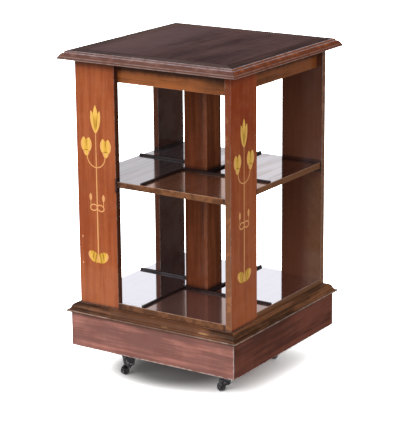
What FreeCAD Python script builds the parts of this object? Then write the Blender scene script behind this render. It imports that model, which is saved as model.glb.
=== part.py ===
import FreeCAD, Part
import math
import os

# Revolving bookcase with two tiers of book bays, on a cross-shaped stand with four castors.
# Millimetres. +Z is up. The origin is on the floor, under the turning axis.
# Front is -Y. The case looks the same after each quarter turn, like a pinwheel.

# Case
CASE_W = 440.0          # over the outer faces of the side boards
BOARD_T = 16.0          # thickness of a side board
BOARD_W = 115.0         # width of a side board
BOARD_ROUND = 1.5       # rounding of a side board's long edges
TIER_H = 290.0          # clear height of each tier
SHELF_T = 15.0
SHELF_EASE = 1.2        # rounding of a shelf's front edges
MIDDLE_INSET = 4.0      # middle shelf's edge behind the boards' outer faces
BOTTOM_INSET = 1.0      # bottom shelf's edge behind the boards' outer faces
COLUMN_W = 65.0         # outside of the hollow square column
COLUMN_T = 9.0          # thickness of a column board
STRIP_W = 6.0           # width of a divider strip
STRIP_H = 5.0           # height of a divider strip
RAIL_H = 50.0           # apron rail
RAIL_T = 14.0

# Top
TOP_W = 500.0
TOP_T = 20.0
TOP_FLAT_W = 468.0      # flat square on top, inside the moulded edge
BORDER_W = 36.0         # flat border between the field panel and the moulded edge
PANEL_T = 14.0
PANEL_LEDGE = 7.0       # rebate that the panel lies on
JOINT_CHAMFER = 0.5     # small bevel along the joint between panel and border
TOP_BEAD_H = 4.8        # bead below the flat
TOP_BEAD_W = 3.7
TOP_FILLET_W = 2.7      # flat step below the bead
TOP_NOSE_H = 5.6        # height of the lowest, upright part of the edge

# Base
SKIRT_LIFT = 84.0       # clear height under the plinth
PLINTH_W = 475.0
PLINTH_H = 88.0
PLINTH_T = 18.0
PLINTH_EASE = 1.2
PLINTH_CORNER_R = 2.0   # rounding of the upright corners
MOULD_W = 494.0
MOULD_H = 23.0
MOULD_INNER_W = 340.0   # opening inside the mitred base moulding
MOULD_LEVEL = 4.0       # level margin outside the boards
MOULD_OVOLO_W = 14.0
MOULD_OVOLO_H = 13.0
MOULD_NOSE_H = 5.0
BLOCK_W = 32.0          # corner block's sides
BLOCK_H = 70.0

# Stand
STAND_TURN = 2.8        # degrees that the arms are off the case's diagonals at rest
ARM_REACH = 213.0       # from the axis to the end of an arm
ARM_W = 40.0
ARM_H = 34.0
CASTER_CIRCLE = 195.0   # from the axis to a castor's swivel pin
POST_D = 38.0
TENON_D = 26.0
PIN_D = 10.0
PIN_IN_POST = 32.0
CUP_PLATE_T = 3.0
CUP_PLATE_D = 44.0
PIVOT_BOSS_D = 20.0
PIVOT_BOSS_H = 13.0
PIVOT_SCREWS = 3        # in the pivot cup, and in the guide ring
PIVOT_SCREW_TURN = 90.0 # degrees from +X to the first of them
PIVOT_FLOOR_T = 3.0     # metal left above the blind bore of the pivot cup
BEARER_W = 64.0
BEARER_DROP = 20.0      # bearer's underside below the top's
BEARER_PAD_GAP = 1.0    # from the end of the bearer's raised middle to the top's border
BEARING_BOARD_W = 130.0
RING_OD = 46.0
RING_FLANGE_D = 70.0
RING_FLANGE_T = 3.0

# Castors
WHEEL_D = 22.0
WHEEL_W = 13.0
WHEEL_ROUND = 2.5
TRAIL = 14.0            # wheel axle behind the swivel axis
AXLE_D = 4.0
AXLE_HEAD_D = 6.0
AXLE_HEAD_T = 1.0
CHEEK_T = 2.0
EYE_D = 12.0            # round end of a fork cheek, at the axle
CROWN_D = 28.0
CROWN_T = 2.8
STEM_D = 6.0
STEM_BUTTON_D = 9.0
STEM_BUTTON_T = 1.6
CUP_H = 23.0
CUP_FLOOR_T = 2.5
CUP_FOOT_D = 30.0       # outside of the cup at its floor
CUP_RIM_D = 37.0        # outside of the cup under its bead
CUP_BEAD = 2.4
CUP_WALL = 2.0
FOOT_SHOULDER_D = 40.0
SWIVEL_AT_REST = (-105.0, 163.0, -118.0, 30.0)   # degrees from +X to each trail

# Fasteners
SCREW_D = 4.0
SCREW_HEAD_D = 7.6
SCREW_HEAD_H = 2.4
SMALL_SCREW_L = 14.0
RAIL_SCREW_L = 54.0
FOOT_SCREW_L = 46.0
RAIL_SCREW_PITCH = 220.0

# Inlay, measured on a side board from the stem's foot line and the board's bottom
INLAY_T = 1.0
STEM_FOOT_V = 120.0
STEM_TOP_V = 440.0
STEM_W_FOOT = 4.0
STEM_W_TOP = 2.2
TULIP_V = 434.5
TULIP_H = 68.0
TULIP_W = 31.0
FLOWER_V = 375.5
FLOWER_H = 46.0
FLOWER_W = 33.0
FLOWER_REACH = 28.5     # from the stem to a side flower's middle
CROOK_V = 348.5         # lowest point of the two curved side stems
CROOK_REACH = 26.5      # from the stem to a side stem's upper end
CROOK_W = 2.6
BOW_V = 248.0
BOW_LOOP_W = 23.0
BOW_LOOP_H = 18.0
BOW_STROKE = 3.0
BUD_REACH = 19.0
BUD_V = 263.0
BUD_H = 20.5
BUD_W = 8.2
LEAF_V = 121.0
LEAF_L = 37.0
LEAF_W = 25.0
LEAF_TILT = 33.0
DROP_H = 22.0
DROP_W = 10.0
GLUE_LINE = 0.15        # between the leaves, and round the drop

# Clearances
RUN_GAP = 0.08          # radial, shaft in its bore
THRUST_GAP = 0.3        # axial, between turning faces
WHEEL_GAP = 0.6         # beside a wheel, in its fork
POST_GAP = 4.0          # radial, round the post in the wood that it passes

# Levels and half widths worked out from the sizes above
half = CASE_W / 2.0
inner = half - BOARD_T
z_plinth = SKIRT_LIFT
z_mould = z_plinth + PLINTH_H
z_board = z_mould + MOULD_H
z_floor_1 = z_board + SHELF_T
z_mid = z_floor_1 + TIER_H
z_floor_2 = z_mid + SHELF_T
z_top = z_floor_2 + TIER_H
z_end = z_top + TOP_T
z_rail = z_top - RAIL_H
z_panel = z_end - PANEL_T
panel_half = TOP_FLAT_W / 2.0 - BORDER_W
rail_inner = inner - RAIL_T
column_half = COLUMN_W / 2.0
column_bore = column_half - COLUMN_T
wheel_r = WHEEL_D / 2.0
z_crown = WHEEL_D + 1.2
z_cup = z_crown + CROWN_T + THRUST_GAP
z_cup_top = z_cup + CUP_H
z_arm = z_cup_top + 4.0
z_arm_top = z_arm + ARM_H
z_bearer = z_top - BEARER_DROP
z_cup_plate = z_bearer - CUP_PLATE_T
z_boss = z_cup_plate - PIVOT_BOSS_H
z_pin_top = z_bearer - PIVOT_FLOOR_T - THRUST_GAP
z_post_top = z_boss - 8.0

SIDES = ("front", "right", "back", "left")
nodes = {}


def vec(x, y, z):
    return FreeCAD.Vector(x, y, z)


def box(x0, y0, z0, x1, y1, z1):
    return Part.makeBox(x1 - x0, y1 - y0, z1 - z0, vec(x0, y0, z0))


def rod(d, z0, z1, x=0.0, y=0.0):
    return Part.makeCylinder(d / 2.0, z1 - z0, vec(x, y, z0))


def cone(d0, d1, z0, z1, x=0.0, y=0.0):
    return Part.makeCone(d0 / 2.0, d1 / 2.0, z1 - z0, vec(x, y, z0))


def turned(shape, degrees):
    copy = shape.copy()
    copy.rotate(vec(0, 0, 0), vec(0, 0, 1), degrees)
    return copy


def group(shapes):
    return Part.makeCompound(list(shapes))


def four_sides(stem, front_piece):
    for k, side in enumerate(SIDES):
        nodes[stem + "_" + side] = turned(front_piece, 90.0 * k)


def on_plan(a, b):
    return vec(a, b, 0.0)


def on_section(a, b):
    # a is the distance from the axis towards the front, b is the height
    return vec(0.0, -a, b)


def flat_face(points, place):
    # A point is (a, b) for a straight run to it, or (middle, end) for an arc to its end.
    edges = []
    first = place(*points[0])
    start = first
    for item in points[1:]:
        if isinstance(item[0], tuple):
            end = place(*item[1])
            edges.append(Part.Arc(start, place(*item[0]), end).toShape())
        else:
            end = place(*item)
            edges.append(Part.LineSegment(start, end).toShape())
        start = end
    if start.distanceToPoint(first) > 1e-6:
        edges.append(Part.LineSegment(start, first).toShape())
    return Part.Face(Part.Wire(edges))


def plan_prism(points, z0, z1):
    face = flat_face(points, on_plan)
    face.translate(vec(0, 0, z0))
    return face.extrude(vec(0, 0, z1 - z0))


def mitred_run(profile, reach):
    # The profile is (distance from the axis, height). Both ends are cut along the diagonals.
    face = flat_face(profile, on_section)
    face.translate(vec(-reach, 0, 0))
    run = face.extrude(vec(2.0 * reach, 0, 0))
    wedge = plan_prism([(0, 0), (-reach, -reach), (reach, -reach)], 0.0, z_end)
    return run.common(wedge)


def bulge(p, q, height):
    # Middle point of an arc from p to q that stands off its chord by height, to the left of p-q.
    dx = q[0] - p[0]
    dy = q[1] - p[1]
    length = math.hypot(dx, dy)
    mid = ((p[0] + q[0]) / 2.0 - dy / length * height, (p[1] + q[1]) / 2.0 + dx / length * height)
    return (mid, q)


def screw(x, y, z_head, length, points_up=False):
    # Countersunk wood screw along Z. Its flat head is at z_head.
    head = cone(SCREW_D, SCREW_HEAD_D, -SCREW_HEAD_H, 0.0)
    shank = rod(SCREW_D, -length + SCREW_D, -SCREW_HEAD_H)
    tip = cone(SCREW_D * 0.25, SCREW_D, -length, -length + SCREW_D)
    solid = head.fuse([shank, tip]).removeSplitter()
    if points_up:
        solid.rotate(vec(0, 0, 0), vec(1, 0, 0), 180)
    solid.translate(vec(x, y, z_head))
    return solid


# Inlay. Outlines are drawn with the stem at u = 0 and the board's bottom at v = 0.
def inlay_place(a, b):
    return vec(-half + BOARD_W / 2.0 + a, -half, z_board + b)


def inlay_solid(points):
    return flat_face(points, inlay_place).extrude(vec(0, INLAY_T, 0))


def mirrored(half_outline):
    # Closes an outline that runs up the right side of u = 0 by its own reflection.
    points = list(half_outline)
    starts = [points[0]] + [p[1] if isinstance(p[0], tuple) else p for p in points[1:]]
    for k in range(len(points) - 1, 0, -1):
        item = points[k]
        target = (-starts[k - 1][0], starts[k - 1][1])
        if isinstance(item[0], tuple):
            points.append(((-item[0][0], item[0][1]), target))
        else:
            points.append(target)
    return points


def spindle(u, v, width, height):
    # Pointed at both ends, with round sides.
    bottom = (u, v)
    top = (u, v + height)
    return [bottom, bulge(bottom, top, -width / 2.0), bulge(top, bottom, -width / 2.0)]


def ellipse_solid(u, v, length, width, tilt):
    if length < width:
        return ellipse_solid(u, v, width, length, tilt + math.pi / 2.0)
    long_axis = inlay_place(math.cos(tilt), math.sin(tilt)).sub(inlay_place(0, 0))
    across = inlay_place(-math.sin(tilt), math.cos(tilt)).sub(inlay_place(0, 0))
    centre = inlay_place(u, v)
    curve = Part.Ellipse(centre.add(long_axis * (length / 2.0)), centre.add(across * (width / 2.0)), centre)
    return Part.Face(Part.Wire(curve.toShape())).extrude(vec(0, INLAY_T, 0))


def tulip():
    w = TULIP_W / 2.0
    side_tip = (w * 0.86, TULIP_V + TULIP_H * 0.80)
    cleft = (w * 0.42, TULIP_V + TULIP_H * 0.66)
    foot = (w * 0.22, TULIP_V)
    tip = (0.0, TULIP_V + TULIP_H)
    outline = [foot, bulge(foot, side_tip, -w * 0.36), bulge(side_tip, cleft, -1.0), bulge(cleft, tip, -1.4)]
    return inlay_solid(mirrored(outline))


def side_flower(u):
    w = FLOWER_W / 2.0
    foot = (w * 0.14, 0.0)
    hip = (w * 0.54, FLOWER_H * 0.26)
    shoulder = (w * 0.70, FLOWER_H * 0.29)
    tip = (w * 0.50, FLOWER_H)
    cleft = (0.0, FLOWER_H * 0.76)
    outline = [foot, bulge(foot, hip, -2.0), shoulder]
    outline += [bulge(shoulder, tip, -w * 0.38), bulge(tip, cleft, -2.0)]
    solid = inlay_solid(mirrored(outline))
    solid.translate(vec(u, 0, FLOWER_V))
    return solid


def crook():
    # The two curved stems of the side flowers, one half ring under both.
    outer = CROOK_REACH + CROOK_W / 2.0
    bore = CROOK_REACH - CROOK_W / 2.0
    level = FLOWER_V + 1.0
    drop = level - CROOK_V
    ring = ellipse_solid(0.0, level, 2.0 * outer, 2.0 * (drop + CROOK_W / 2.0), 0.0)
    ring = ring.cut(ellipse_solid(0.0, level, 2.0 * bore, 2.0 * (drop - CROOK_W / 2.0), 0.0))
    high = level + 2.0 * drop
    upper = inlay_solid([(-outer, level), (outer, level), (outer, high), (-outer, high)])
    return ring.cut(upper)


def bow_loop(side):
    u = side * BOW_LOOP_W * 0.44
    tilt = math.radians(-12.0 * side)
    ring = ellipse_solid(u, BOW_V, BOW_LOOP_W, BOW_LOOP_H, tilt)
    hole = ellipse_solid(u, BOW_V, BOW_LOOP_W - 2.0 * BOW_STROKE, BOW_LOOP_H - 2.0 * BOW_STROKE, tilt)
    return ring.cut(hole)


def bud(side):
    u = side * BUD_REACH
    stalk_foot = BOW_V + BOW_LOOP_H * 0.12
    stalk = [(u - 0.9, stalk_foot), (u + 0.9, stalk_foot), (u + 0.9, BUD_V + 4.0), (u - 0.9, BUD_V + 4.0)]
    return inlay_solid(stalk).fuse(inlay_solid(spindle(u, BUD_V, BUD_W, BUD_H)))


def bow():
    return bow_loop(-1).fuse([bow_loop(1), bud(-1), bud(1)]).removeSplitter()


def leaf(side, gap):
    tilt = math.radians(90.0 - side * (90.0 - LEAF_TILT))
    lobe = ellipse_solid(side * LEAF_L * 0.36, LEAF_V + 2.0, LEAF_L, LEAF_W, tilt)
    low, high = LEAF_V - 2.0 * LEAF_L, LEAF_V + 2.0 * LEAF_L
    near = side * gap / 2.0
    edge = -side * 2.0 * LEAF_L
    other_side = inlay_solid([(near, low), (edge, low), (edge, high), (near, high)])
    return lobe.cut([other_side, drop(0.0)])


def drop(gap):
    return inlay_solid(spindle(0.0, LEAF_V - DROP_H * 0.6 + gap, DROP_W - 2.0 * gap, DROP_H - 2.0 * gap))


def foot_motifs(gap):
    return [drop(gap), leaf(-1, gap), leaf(1, gap)]


def stem():
    foot = STEM_W_FOOT / 2.0
    top = STEM_W_TOP / 2.0
    return inlay_solid([(-foot, STEM_FOOT_V), (foot, STEM_FOOT_V), (top, STEM_TOP_V), (-top, STEM_TOP_V)])


def make_inlay(gap):
    # With no gap this is the shape of the pockets in the board.
    motifs = [tulip(), side_flower(-FLOWER_REACH), side_flower(FLOWER_REACH), bow()]
    stems = [crook().cut(motifs[1:3]), stem().cut(motifs + foot_motifs(0.0))]
    stems[0] = stems[0].cut(stems[1])
    pieces = []
    for shape in motifs + foot_motifs(gap) + stems:
        pieces += shape.Solids
    return pieces


# Case
def make_board(pockets):
    board = box(-half, -half, z_board, -half + BOARD_W, -inner, z_top)
    long_edges = []
    for edge in board.Edges:
        a, b = edge.Vertexes[0].Point, edge.Vertexes[1].Point
        if abs(a.z - b.z) > TIER_H and a.y < -half + 0.1:
            long_edges.append(edge)
    return board.makeFillet(BOARD_ROUND, long_edges).cut(pockets)


def shelf_outline(edge_half, tab_end):
    # Pinwheel outline: on each side a tab fills the front between one board and the next.
    front = [(tab_end, -inner), (tab_end, -edge_half), (inner, -edge_half)]
    points = []
    for k in range(4):
        for x, y in front:
            turns = {0: (x, y), 1: (-y, x), 2: (-x, -y), 3: (y, -x)}
            points.append(turns[k])
    return points


def make_shelf(inset, z0, hole):
    edge_half = half - inset
    shelf = plan_prism(shelf_outline(edge_half, -half + BOARD_W), z0, z0 + SHELF_T)
    front_edges = []
    for edge in shelf.Edges:
        mid = edge.CenterOfMass
        if abs(max(abs(mid.x), abs(mid.y)) - edge_half) < 0.01 and abs(mid.z - z0 - SHELF_T / 2.0) > 1.0:
            front_edges.append(edge)
    return shelf.makeFillet(SHELF_EASE, front_edges).cut(hole)


def divider_strips(inset, z0):
    # Each strip runs along one column face from the shelf's edge to just past the column.
    reach = half - inset - SHELF_EASE
    strip = box(-column_half - STRIP_W, -reach, z0, -column_half, column_half, z0 + STRIP_H)
    return group(turned(strip, 90.0 * k) for k in range(4))


def column_board():
    # Each board laps one neighbour's edge and butts against the other.
    return box(-column_half, -column_half, z_floor_1, column_bore, -column_bore, z_bearer)


def apron_rail(holes):
    rail = box(-rail_inner, -inner, z_rail, inner, -rail_inner, z_top)
    return rail.cut(holes)


def rail_screws():
    middle = (inner + rail_inner) / 2.0
    places = [(-RAIL_SCREW_PITCH / 2.0, -middle), (RAIL_SCREW_PITCH / 2.0, -middle)]
    return [screw(x, y, z_rail, RAIL_SCREW_L, points_up=True) for x, y in places]


# Top
def top_profile():
    flat = TOP_FLAT_W / 2.0
    edge = TOP_W / 2.0
    bead = (flat + TOP_BEAD_W, z_end - TOP_BEAD_H)
    step = (bead[0] + TOP_FILLET_W, bead[1] - 0.6)
    nose = (edge - 1.6, z_top + TOP_NOSE_H)
    side = (edge, z_top + TOP_NOSE_H - 2.6)
    foot = (edge, z_top + 0.8)
    under = (edge - 0.8, z_top)
    return [
        (panel_half - PANEL_LEDGE, z_top),
        (panel_half - PANEL_LEDGE, z_panel),
        (panel_half, z_panel),
        (panel_half, z_end - JOINT_CHAMFER),
        (panel_half + JOINT_CHAMFER, z_end),
        (flat, z_end),
        bulge((flat, z_end), bead, 1.1),
        step,
        bulge(step, nose, 1.0),
        bulge(nose, side, 0.4),
        foot,
        under,
    ]


def top_panel():
    panel = box(-panel_half, -panel_half, z_panel, panel_half, panel_half, z_end)
    rim = [edge for edge in panel.Edges if edge.CenterOfMass.z > z_end - 0.01]
    return panel.makeChamfer(JOINT_CHAMFER, rim)


# Base
def mould_profile():
    ovolo_top = (half + MOULD_LEVEL, z_board - 0.8)
    ovolo_end = (ovolo_top[0] + MOULD_OVOLO_W, ovolo_top[1] - MOULD_OVOLO_H)
    nose_r = MOULD_NOSE_H / 2.0
    nose_top = (MOULD_W / 2.0 - nose_r, z_mould + MOULD_NOSE_H)
    nose_mid = (MOULD_W / 2.0, z_mould + nose_r)
    nose_end = (MOULD_W / 2.0 - nose_r, z_mould)
    return [
        (MOULD_INNER_W / 2.0, z_mould),
        (MOULD_INNER_W / 2.0, z_board),
        (half + MOULD_LEVEL, z_board),
        ovolo_top,
        bulge(ovolo_top, ovolo_end, 3.6),
        (ovolo_end[0] + 1.0, ovolo_end[1]),
        bulge((ovolo_end[0] + 1.0, ovolo_end[1]), nose_top, -1.2),
        (nose_mid, nose_end),
    ]


def plinth_profile():
    outer = PLINTH_W / 2.0
    ease = PLINTH_EASE
    return [
        (outer - PLINTH_T, z_plinth),
        (outer - PLINTH_T, z_mould),
        (outer, z_mould),
        (outer, z_plinth + ease),
        ((outer - 0.3 * ease, z_plinth + 0.3 * ease), (outer - ease, z_plinth)),
    ]


def make_plinth():
    outer = PLINTH_W / 2.0
    square = box(-outer, -outer, z_plinth, outer, outer, z_mould)
    corners = [edge for edge in square.Edges if abs(edge.CenterOfMass.z - (z_plinth + z_mould) / 2.0) < 0.01]
    return mitred_run(plinth_profile(), outer).common(square.makeFillet(PLINTH_CORNER_R, corners))


def corner_block():
    corner = PLINTH_W / 2.0 - PLINTH_T
    near = corner - BLOCK_W
    return plan_prism([(-corner, -corner), (-near, -corner), (-corner, -near)], z_mould - BLOCK_H, z_mould)


# Pivot
def pivot_cup(holes):
    plate = rod(CUP_PLATE_D, z_cup_plate, z_bearer)
    boss = rod(PIVOT_BOSS_D, z_boss, z_cup_plate)
    bore = rod(PIN_D + 2.0 * RUN_GAP, z_boss, z_bearer - PIVOT_FLOOR_T)
    return plate.fuse(boss).removeSplitter().cut([bore] + holes)


def screw_circle(pitch_r, z_head):
    angles = [math.radians(PIVOT_SCREW_TURN + 360.0 * k / PIVOT_SCREWS) for k in range(PIVOT_SCREWS)]
    places = [(pitch_r * math.cos(a), pitch_r * math.sin(a)) for a in angles]
    return [screw(x, y, z_head, SMALL_SCREW_L, points_up=True) for x, y in places]


def cup_screws():
    return screw_circle((CUP_PLATE_D + PIVOT_BOSS_D) / 4.0, z_cup_plate)


def guide_ring(holes):
    bush = rod(RING_OD, z_mould, z_board)
    flange = rod(RING_FLANGE_D, z_mould - RING_FLANGE_T, z_mould)
    bore = rod(POST_D + 2.0 * RUN_GAP, z_mould - RING_FLANGE_T, z_board)
    return bush.fuse(flange).removeSplitter().cut([bore] + holes)


def ring_screws():
    return screw_circle((RING_FLANGE_D + RING_OD) / 4.0, z_mould - RING_FLANGE_T)


def bearing_board(holes):
    reach = MOULD_INNER_W / 2.0
    width = BEARING_BOARD_W / 2.0
    board = box(-reach, -width, z_mould, reach, width, z_board)
    return board.cut([rod(RING_OD, z_mould, z_board)] + holes)


def pivot_bearer(holes):
    # Between the rails it is as high as they are. Its middle rises through the border to the panel.
    width = BEARER_W / 2.0
    pad_half = panel_half - PANEL_LEDGE - BEARER_PAD_GAP
    bearer = box(-rail_inner, -width, z_bearer, rail_inner, width, z_top)
    pad = box(-pad_half, -width, z_top, pad_half, width, z_panel)
    return bearer.fuse(pad).removeSplitter().cut(holes)


# Stand
def stand_angle(k):
    return 45.0 + STAND_TURN + 90.0 * k


def cross_arm(k, lower, holes):
    # Halved at the crossing: the lower arm loses its upper half there, the other its lower half.
    arm = box(-ARM_REACH, -ARM_W / 2.0, z_arm, ARM_REACH, ARM_W / 2.0, z_arm_top)
    z_half = (z_arm + z_arm_top) / 2.0
    z0, z1 = (z_half, z_arm_top) if lower else (z_arm, z_half)
    notch = box(-ARM_W / 2.0, -ARM_W / 2.0, z0, ARM_W / 2.0, ARM_W / 2.0, z1)
    return turned(arm.cut(notch), stand_angle(k)).cut(holes)


def post(tenon, pin):
    return rod(POST_D, z_arm_top, z_post_top).fuse(tenon).removeSplitter().cut(pin)


def pivot_pin():
    pin = rod(PIN_D, z_post_top - PIN_IN_POST, z_pin_top)
    return pin.makeChamfer(1.0, [edge for edge in pin.Edges if edge.CenterOfMass.z > z_pin_top - 0.01])


def caster_spot(k):
    a = math.radians(stand_angle(k))
    return CASTER_CIRCLE * math.cos(a), CASTER_CIRCLE * math.sin(a)


def cup_width(z):
    # Inside of the cup at height z. The foot's cone is the same.
    share = (z - z_cup) / CUP_H
    return CUP_FOOT_D + (CUP_RIM_D - CUP_FOOT_D) * share - 2.0 * CUP_WALL


def caster_cup():
    shell = cone(CUP_FOOT_D, CUP_RIM_D, z_cup, z_cup_top)
    bead = rod(CUP_RIM_D + CUP_BEAD, z_cup_top - CUP_BEAD, z_cup_top)
    bead = bead.makeFillet(CUP_BEAD * 0.45, [edge for edge in bead.Edges if len(edge.Vertexes) == 1])
    z_in = z_cup + CUP_FLOOR_T
    hollow = cone(cup_width(z_in), cup_width(z_cup_top), z_in, z_cup_top)
    bore = rod(STEM_D + 2.0 * RUN_GAP, z_cup, z_in)
    return shell.fuse(bead).removeSplitter().cut([hollow, bore])


def turned_foot(hole):
    z_in = z_cup + CUP_FLOOR_T + STEM_BUTTON_T + 1.0
    cone_part = cone(cup_width(z_in), cup_width(z_cup_top), z_in, z_cup_top)
    shoulder = cone(cup_width(z_cup_top), FOOT_SHOULDER_D, z_cup_top, z_arm)
    return cone_part.fuse(shoulder).removeSplitter().cut(hole)


def foot_screw():
    return screw(0.0, 0.0, z_arm_top, FOOT_SCREW_L)


def fork():
    # Drawn with the swivel axis at the origin and the trail along +X.
    crown = rod(CROWN_D, z_crown, z_crown + CROWN_T)
    crown = crown.fuse(rod(STEM_D, z_crown + CROWN_T, z_cup + CUP_FLOOR_T + STEM_BUTTON_T))
    z_button = z_cup + CUP_FLOOR_T + RUN_GAP
    crown = crown.fuse(rod(STEM_BUTTON_D, z_button, z_button + STEM_BUTTON_T))
    near = WHEEL_W / 2.0 + WHEEL_GAP
    for side in (-1, 1):
        crown = crown.fuse(fork_cheek(side * near, side * (near + CHEEK_T)))
    eye_bore = Part.makeCylinder(AXLE_D / 2.0, 4.0 * near, vec(TRAIL, -2.0 * near, wheel_r), vec(0, 1, 0))
    return crown.removeSplitter().cut(eye_bore)


def fork_cheek(y0, y1):
    eye_r = EYE_D / 2.0
    root = CROWN_D / 2.0 - 4.0
    low = (TRAIL, wheel_r - eye_r)
    front = (TRAIL + eye_r, wheel_r)
    back = (TRAIL - eye_r, wheel_r)
    outline = [(-root * 0.6, z_crown), (root, z_crown), bulge((root, z_crown), front, 1.0)]
    outline += [bulge(front, low, eye_r * 0.292), bulge(low, back, eye_r * 0.292)]
    outline += [bulge(back, (-root * 0.6, z_crown), -1.4)]
    face = flat_face(outline, lambda a, b: vec(a, y0, b))
    return face.extrude(vec(0, y1 - y0, 0))


def caster_wheel():
    disc = Part.makeCylinder(wheel_r, WHEEL_W, vec(TRAIL, -WHEEL_W / 2.0, wheel_r), vec(0, 1, 0))
    disc = disc.makeFillet(WHEEL_ROUND, [edge for edge in disc.Edges if len(edge.Vertexes) == 1])
    bore_r = AXLE_D / 2.0 + RUN_GAP
    bore = Part.makeCylinder(bore_r, WHEEL_W, vec(TRAIL, -WHEEL_W / 2.0, wheel_r), vec(0, 1, 0))
    return disc.cut(bore)


def caster_axle():
    reach = WHEEL_W / 2.0 + WHEEL_GAP + CHEEK_T
    pin = Part.makeCylinder(AXLE_D / 2.0, 2.0 * reach, vec(TRAIL, -reach, wheel_r), vec(0, 1, 0))
    for y0 in (-reach - AXLE_HEAD_T, reach):
        start = vec(TRAIL, y0, wheel_r)
        pin = pin.fuse(Part.makeCylinder(AXLE_HEAD_D / 2.0, AXLE_HEAD_T, start, vec(0, 1, 0)))
    return pin.removeSplitter()


def at_caster(shape, k, turn=0.0):
    x, y = caster_spot(k)
    copy = turned(shape, turn)
    copy.translate(vec(x, y, 0))
    return copy


def build_case():
    four_sides("inlay", group(make_inlay(GLUE_LINE)))
    four_sides("side_board", make_board(make_inlay(0.0)))
    screws = rail_screws()
    four_sides("apron_rail", apron_rail(screws))
    all_screws = [turned(s, 90.0 * k) for k in range(4) for s in screws]
    nodes["top_screws"] = group(all_screws)
    four_sides("top_frame", mitred_run(top_profile(), TOP_W / 2.0).cut(screws))
    nodes["top_panel"] = top_panel()
    column_hole = box(-column_half, -column_half, z_mid, column_half, column_half, z_floor_2)
    nodes["middle_shelf"] = make_shelf(MIDDLE_INSET, z_mid, column_hole)
    post_hole = rod(POST_D + 2.0 * POST_GAP, z_board, z_floor_1)
    nodes["bottom_shelf"] = make_shelf(BOTTOM_INSET, z_board, post_hole)
    nodes["middle_shelf_strips"] = divider_strips(MIDDLE_INSET, z_floor_2)
    nodes["bottom_shelf_strips"] = divider_strips(BOTTOM_INSET, z_floor_1)
    four_sides("column_board", column_board())
    four_sides("base_moulding", mitred_run(mould_profile(), MOULD_W / 2.0))
    four_sides("plinth", make_plinth())
    nodes["corner_blocks"] = group(turned(corner_block(), 90.0 * k) for k in range(4))


def build_pivot():
    screws = cup_screws()
    nodes["pivot_cup"] = pivot_cup(screws)
    nodes["pivot_cup_screws"] = group(screws)
    nodes["pivot_bearer"] = pivot_bearer(screws)
    screws = ring_screws()
    nodes["guide_ring"] = guide_ring(screws)
    nodes["guide_ring_screws"] = group(screws)
    nodes["bearing_board"] = bearing_board(screws)


def build_stand():
    screws = [at_caster(foot_screw(), k) for k in range(4)]
    tenon = rod(TENON_D, z_arm, z_arm_top)
    nodes["foot_screws"] = group(screws)
    nodes["cross_arm_lower"] = cross_arm(0, True, screws + [tenon])
    nodes["cross_arm_upper"] = cross_arm(1, False, screws + [tenon])
    pin = pivot_pin()
    nodes["pivot_pin"] = pin
    nodes["centre_post"] = post(tenon, pin)
    nodes["turned_feet"] = group(at_caster(turned_foot(foot_screw()), k) for k in range(4))
    nodes["caster_cups"] = group(at_caster(caster_cup(), k) for k in range(4))


def build_casters():
    # The first castor is the one at the front left, and they are numbered anticlockwise.
    for number, trail in enumerate(SWIVEL_AT_REST, start=1):
        k = number + 1
        name = "_" + str(number)
        nodes["caster_fork" + name] = at_caster(fork(), k, trail)
        nodes["caster_axle" + name] = at_caster(caster_axle(), k, trail)
        nodes["caster_wheel" + name] = at_caster(caster_wheel(), k, trail)


build_case()
build_pivot()
build_stand()
build_casters()

os.makedirs("parts", exist_ok=True)
for name, shape in nodes.items():
    shape.exportStep("parts/" + name + ".step")
    print(name, len(shape.Solids), "solids", round(shape.Volume / 1000.0, 2), "cm3", shape.isValid())
print(len(nodes), "nodes, height", z_end)
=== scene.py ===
# %% [markdown]
# # A revolving bookcase in inlaid mahogany
# The frame holds the case, its cross stand and its castors as separate pieces at their real size.
# This lesson dresses them: it sets up the view and the light, lays the woods and metals,
# and makes new pieces where the joiner's hand shows most. Lengths are metres, +Z is up,
# and the front of the case looks along -Y.

# %% Load the frame
import math

import bpy
import numpy as np
from mathutils import Euler, Matrix, Vector


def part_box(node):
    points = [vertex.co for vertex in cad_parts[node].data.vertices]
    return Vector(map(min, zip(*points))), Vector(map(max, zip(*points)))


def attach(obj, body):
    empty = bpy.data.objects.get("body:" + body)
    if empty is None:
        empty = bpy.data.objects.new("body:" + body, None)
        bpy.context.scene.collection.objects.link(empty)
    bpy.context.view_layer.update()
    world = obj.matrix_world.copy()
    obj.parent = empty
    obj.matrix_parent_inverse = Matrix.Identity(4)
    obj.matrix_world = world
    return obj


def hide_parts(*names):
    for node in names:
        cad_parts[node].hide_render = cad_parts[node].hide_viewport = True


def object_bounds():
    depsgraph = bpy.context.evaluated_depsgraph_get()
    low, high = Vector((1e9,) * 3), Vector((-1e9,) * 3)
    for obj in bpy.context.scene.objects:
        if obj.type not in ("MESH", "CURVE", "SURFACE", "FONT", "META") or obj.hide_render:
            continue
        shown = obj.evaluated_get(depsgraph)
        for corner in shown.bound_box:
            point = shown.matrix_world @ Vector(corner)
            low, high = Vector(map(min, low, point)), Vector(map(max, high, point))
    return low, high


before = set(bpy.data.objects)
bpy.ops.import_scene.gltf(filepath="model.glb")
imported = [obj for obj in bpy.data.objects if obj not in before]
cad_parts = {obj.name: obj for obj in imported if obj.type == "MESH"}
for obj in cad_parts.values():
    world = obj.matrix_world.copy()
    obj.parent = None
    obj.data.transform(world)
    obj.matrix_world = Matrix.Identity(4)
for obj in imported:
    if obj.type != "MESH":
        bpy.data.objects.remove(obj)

cad_low, cad_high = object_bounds()
SIDES = ("front", "right", "back", "left")
print(len(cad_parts), "pieces come from the frame")
print("the object's box runs from", tuple(cad_low), "to", tuple(cad_high))

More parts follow.
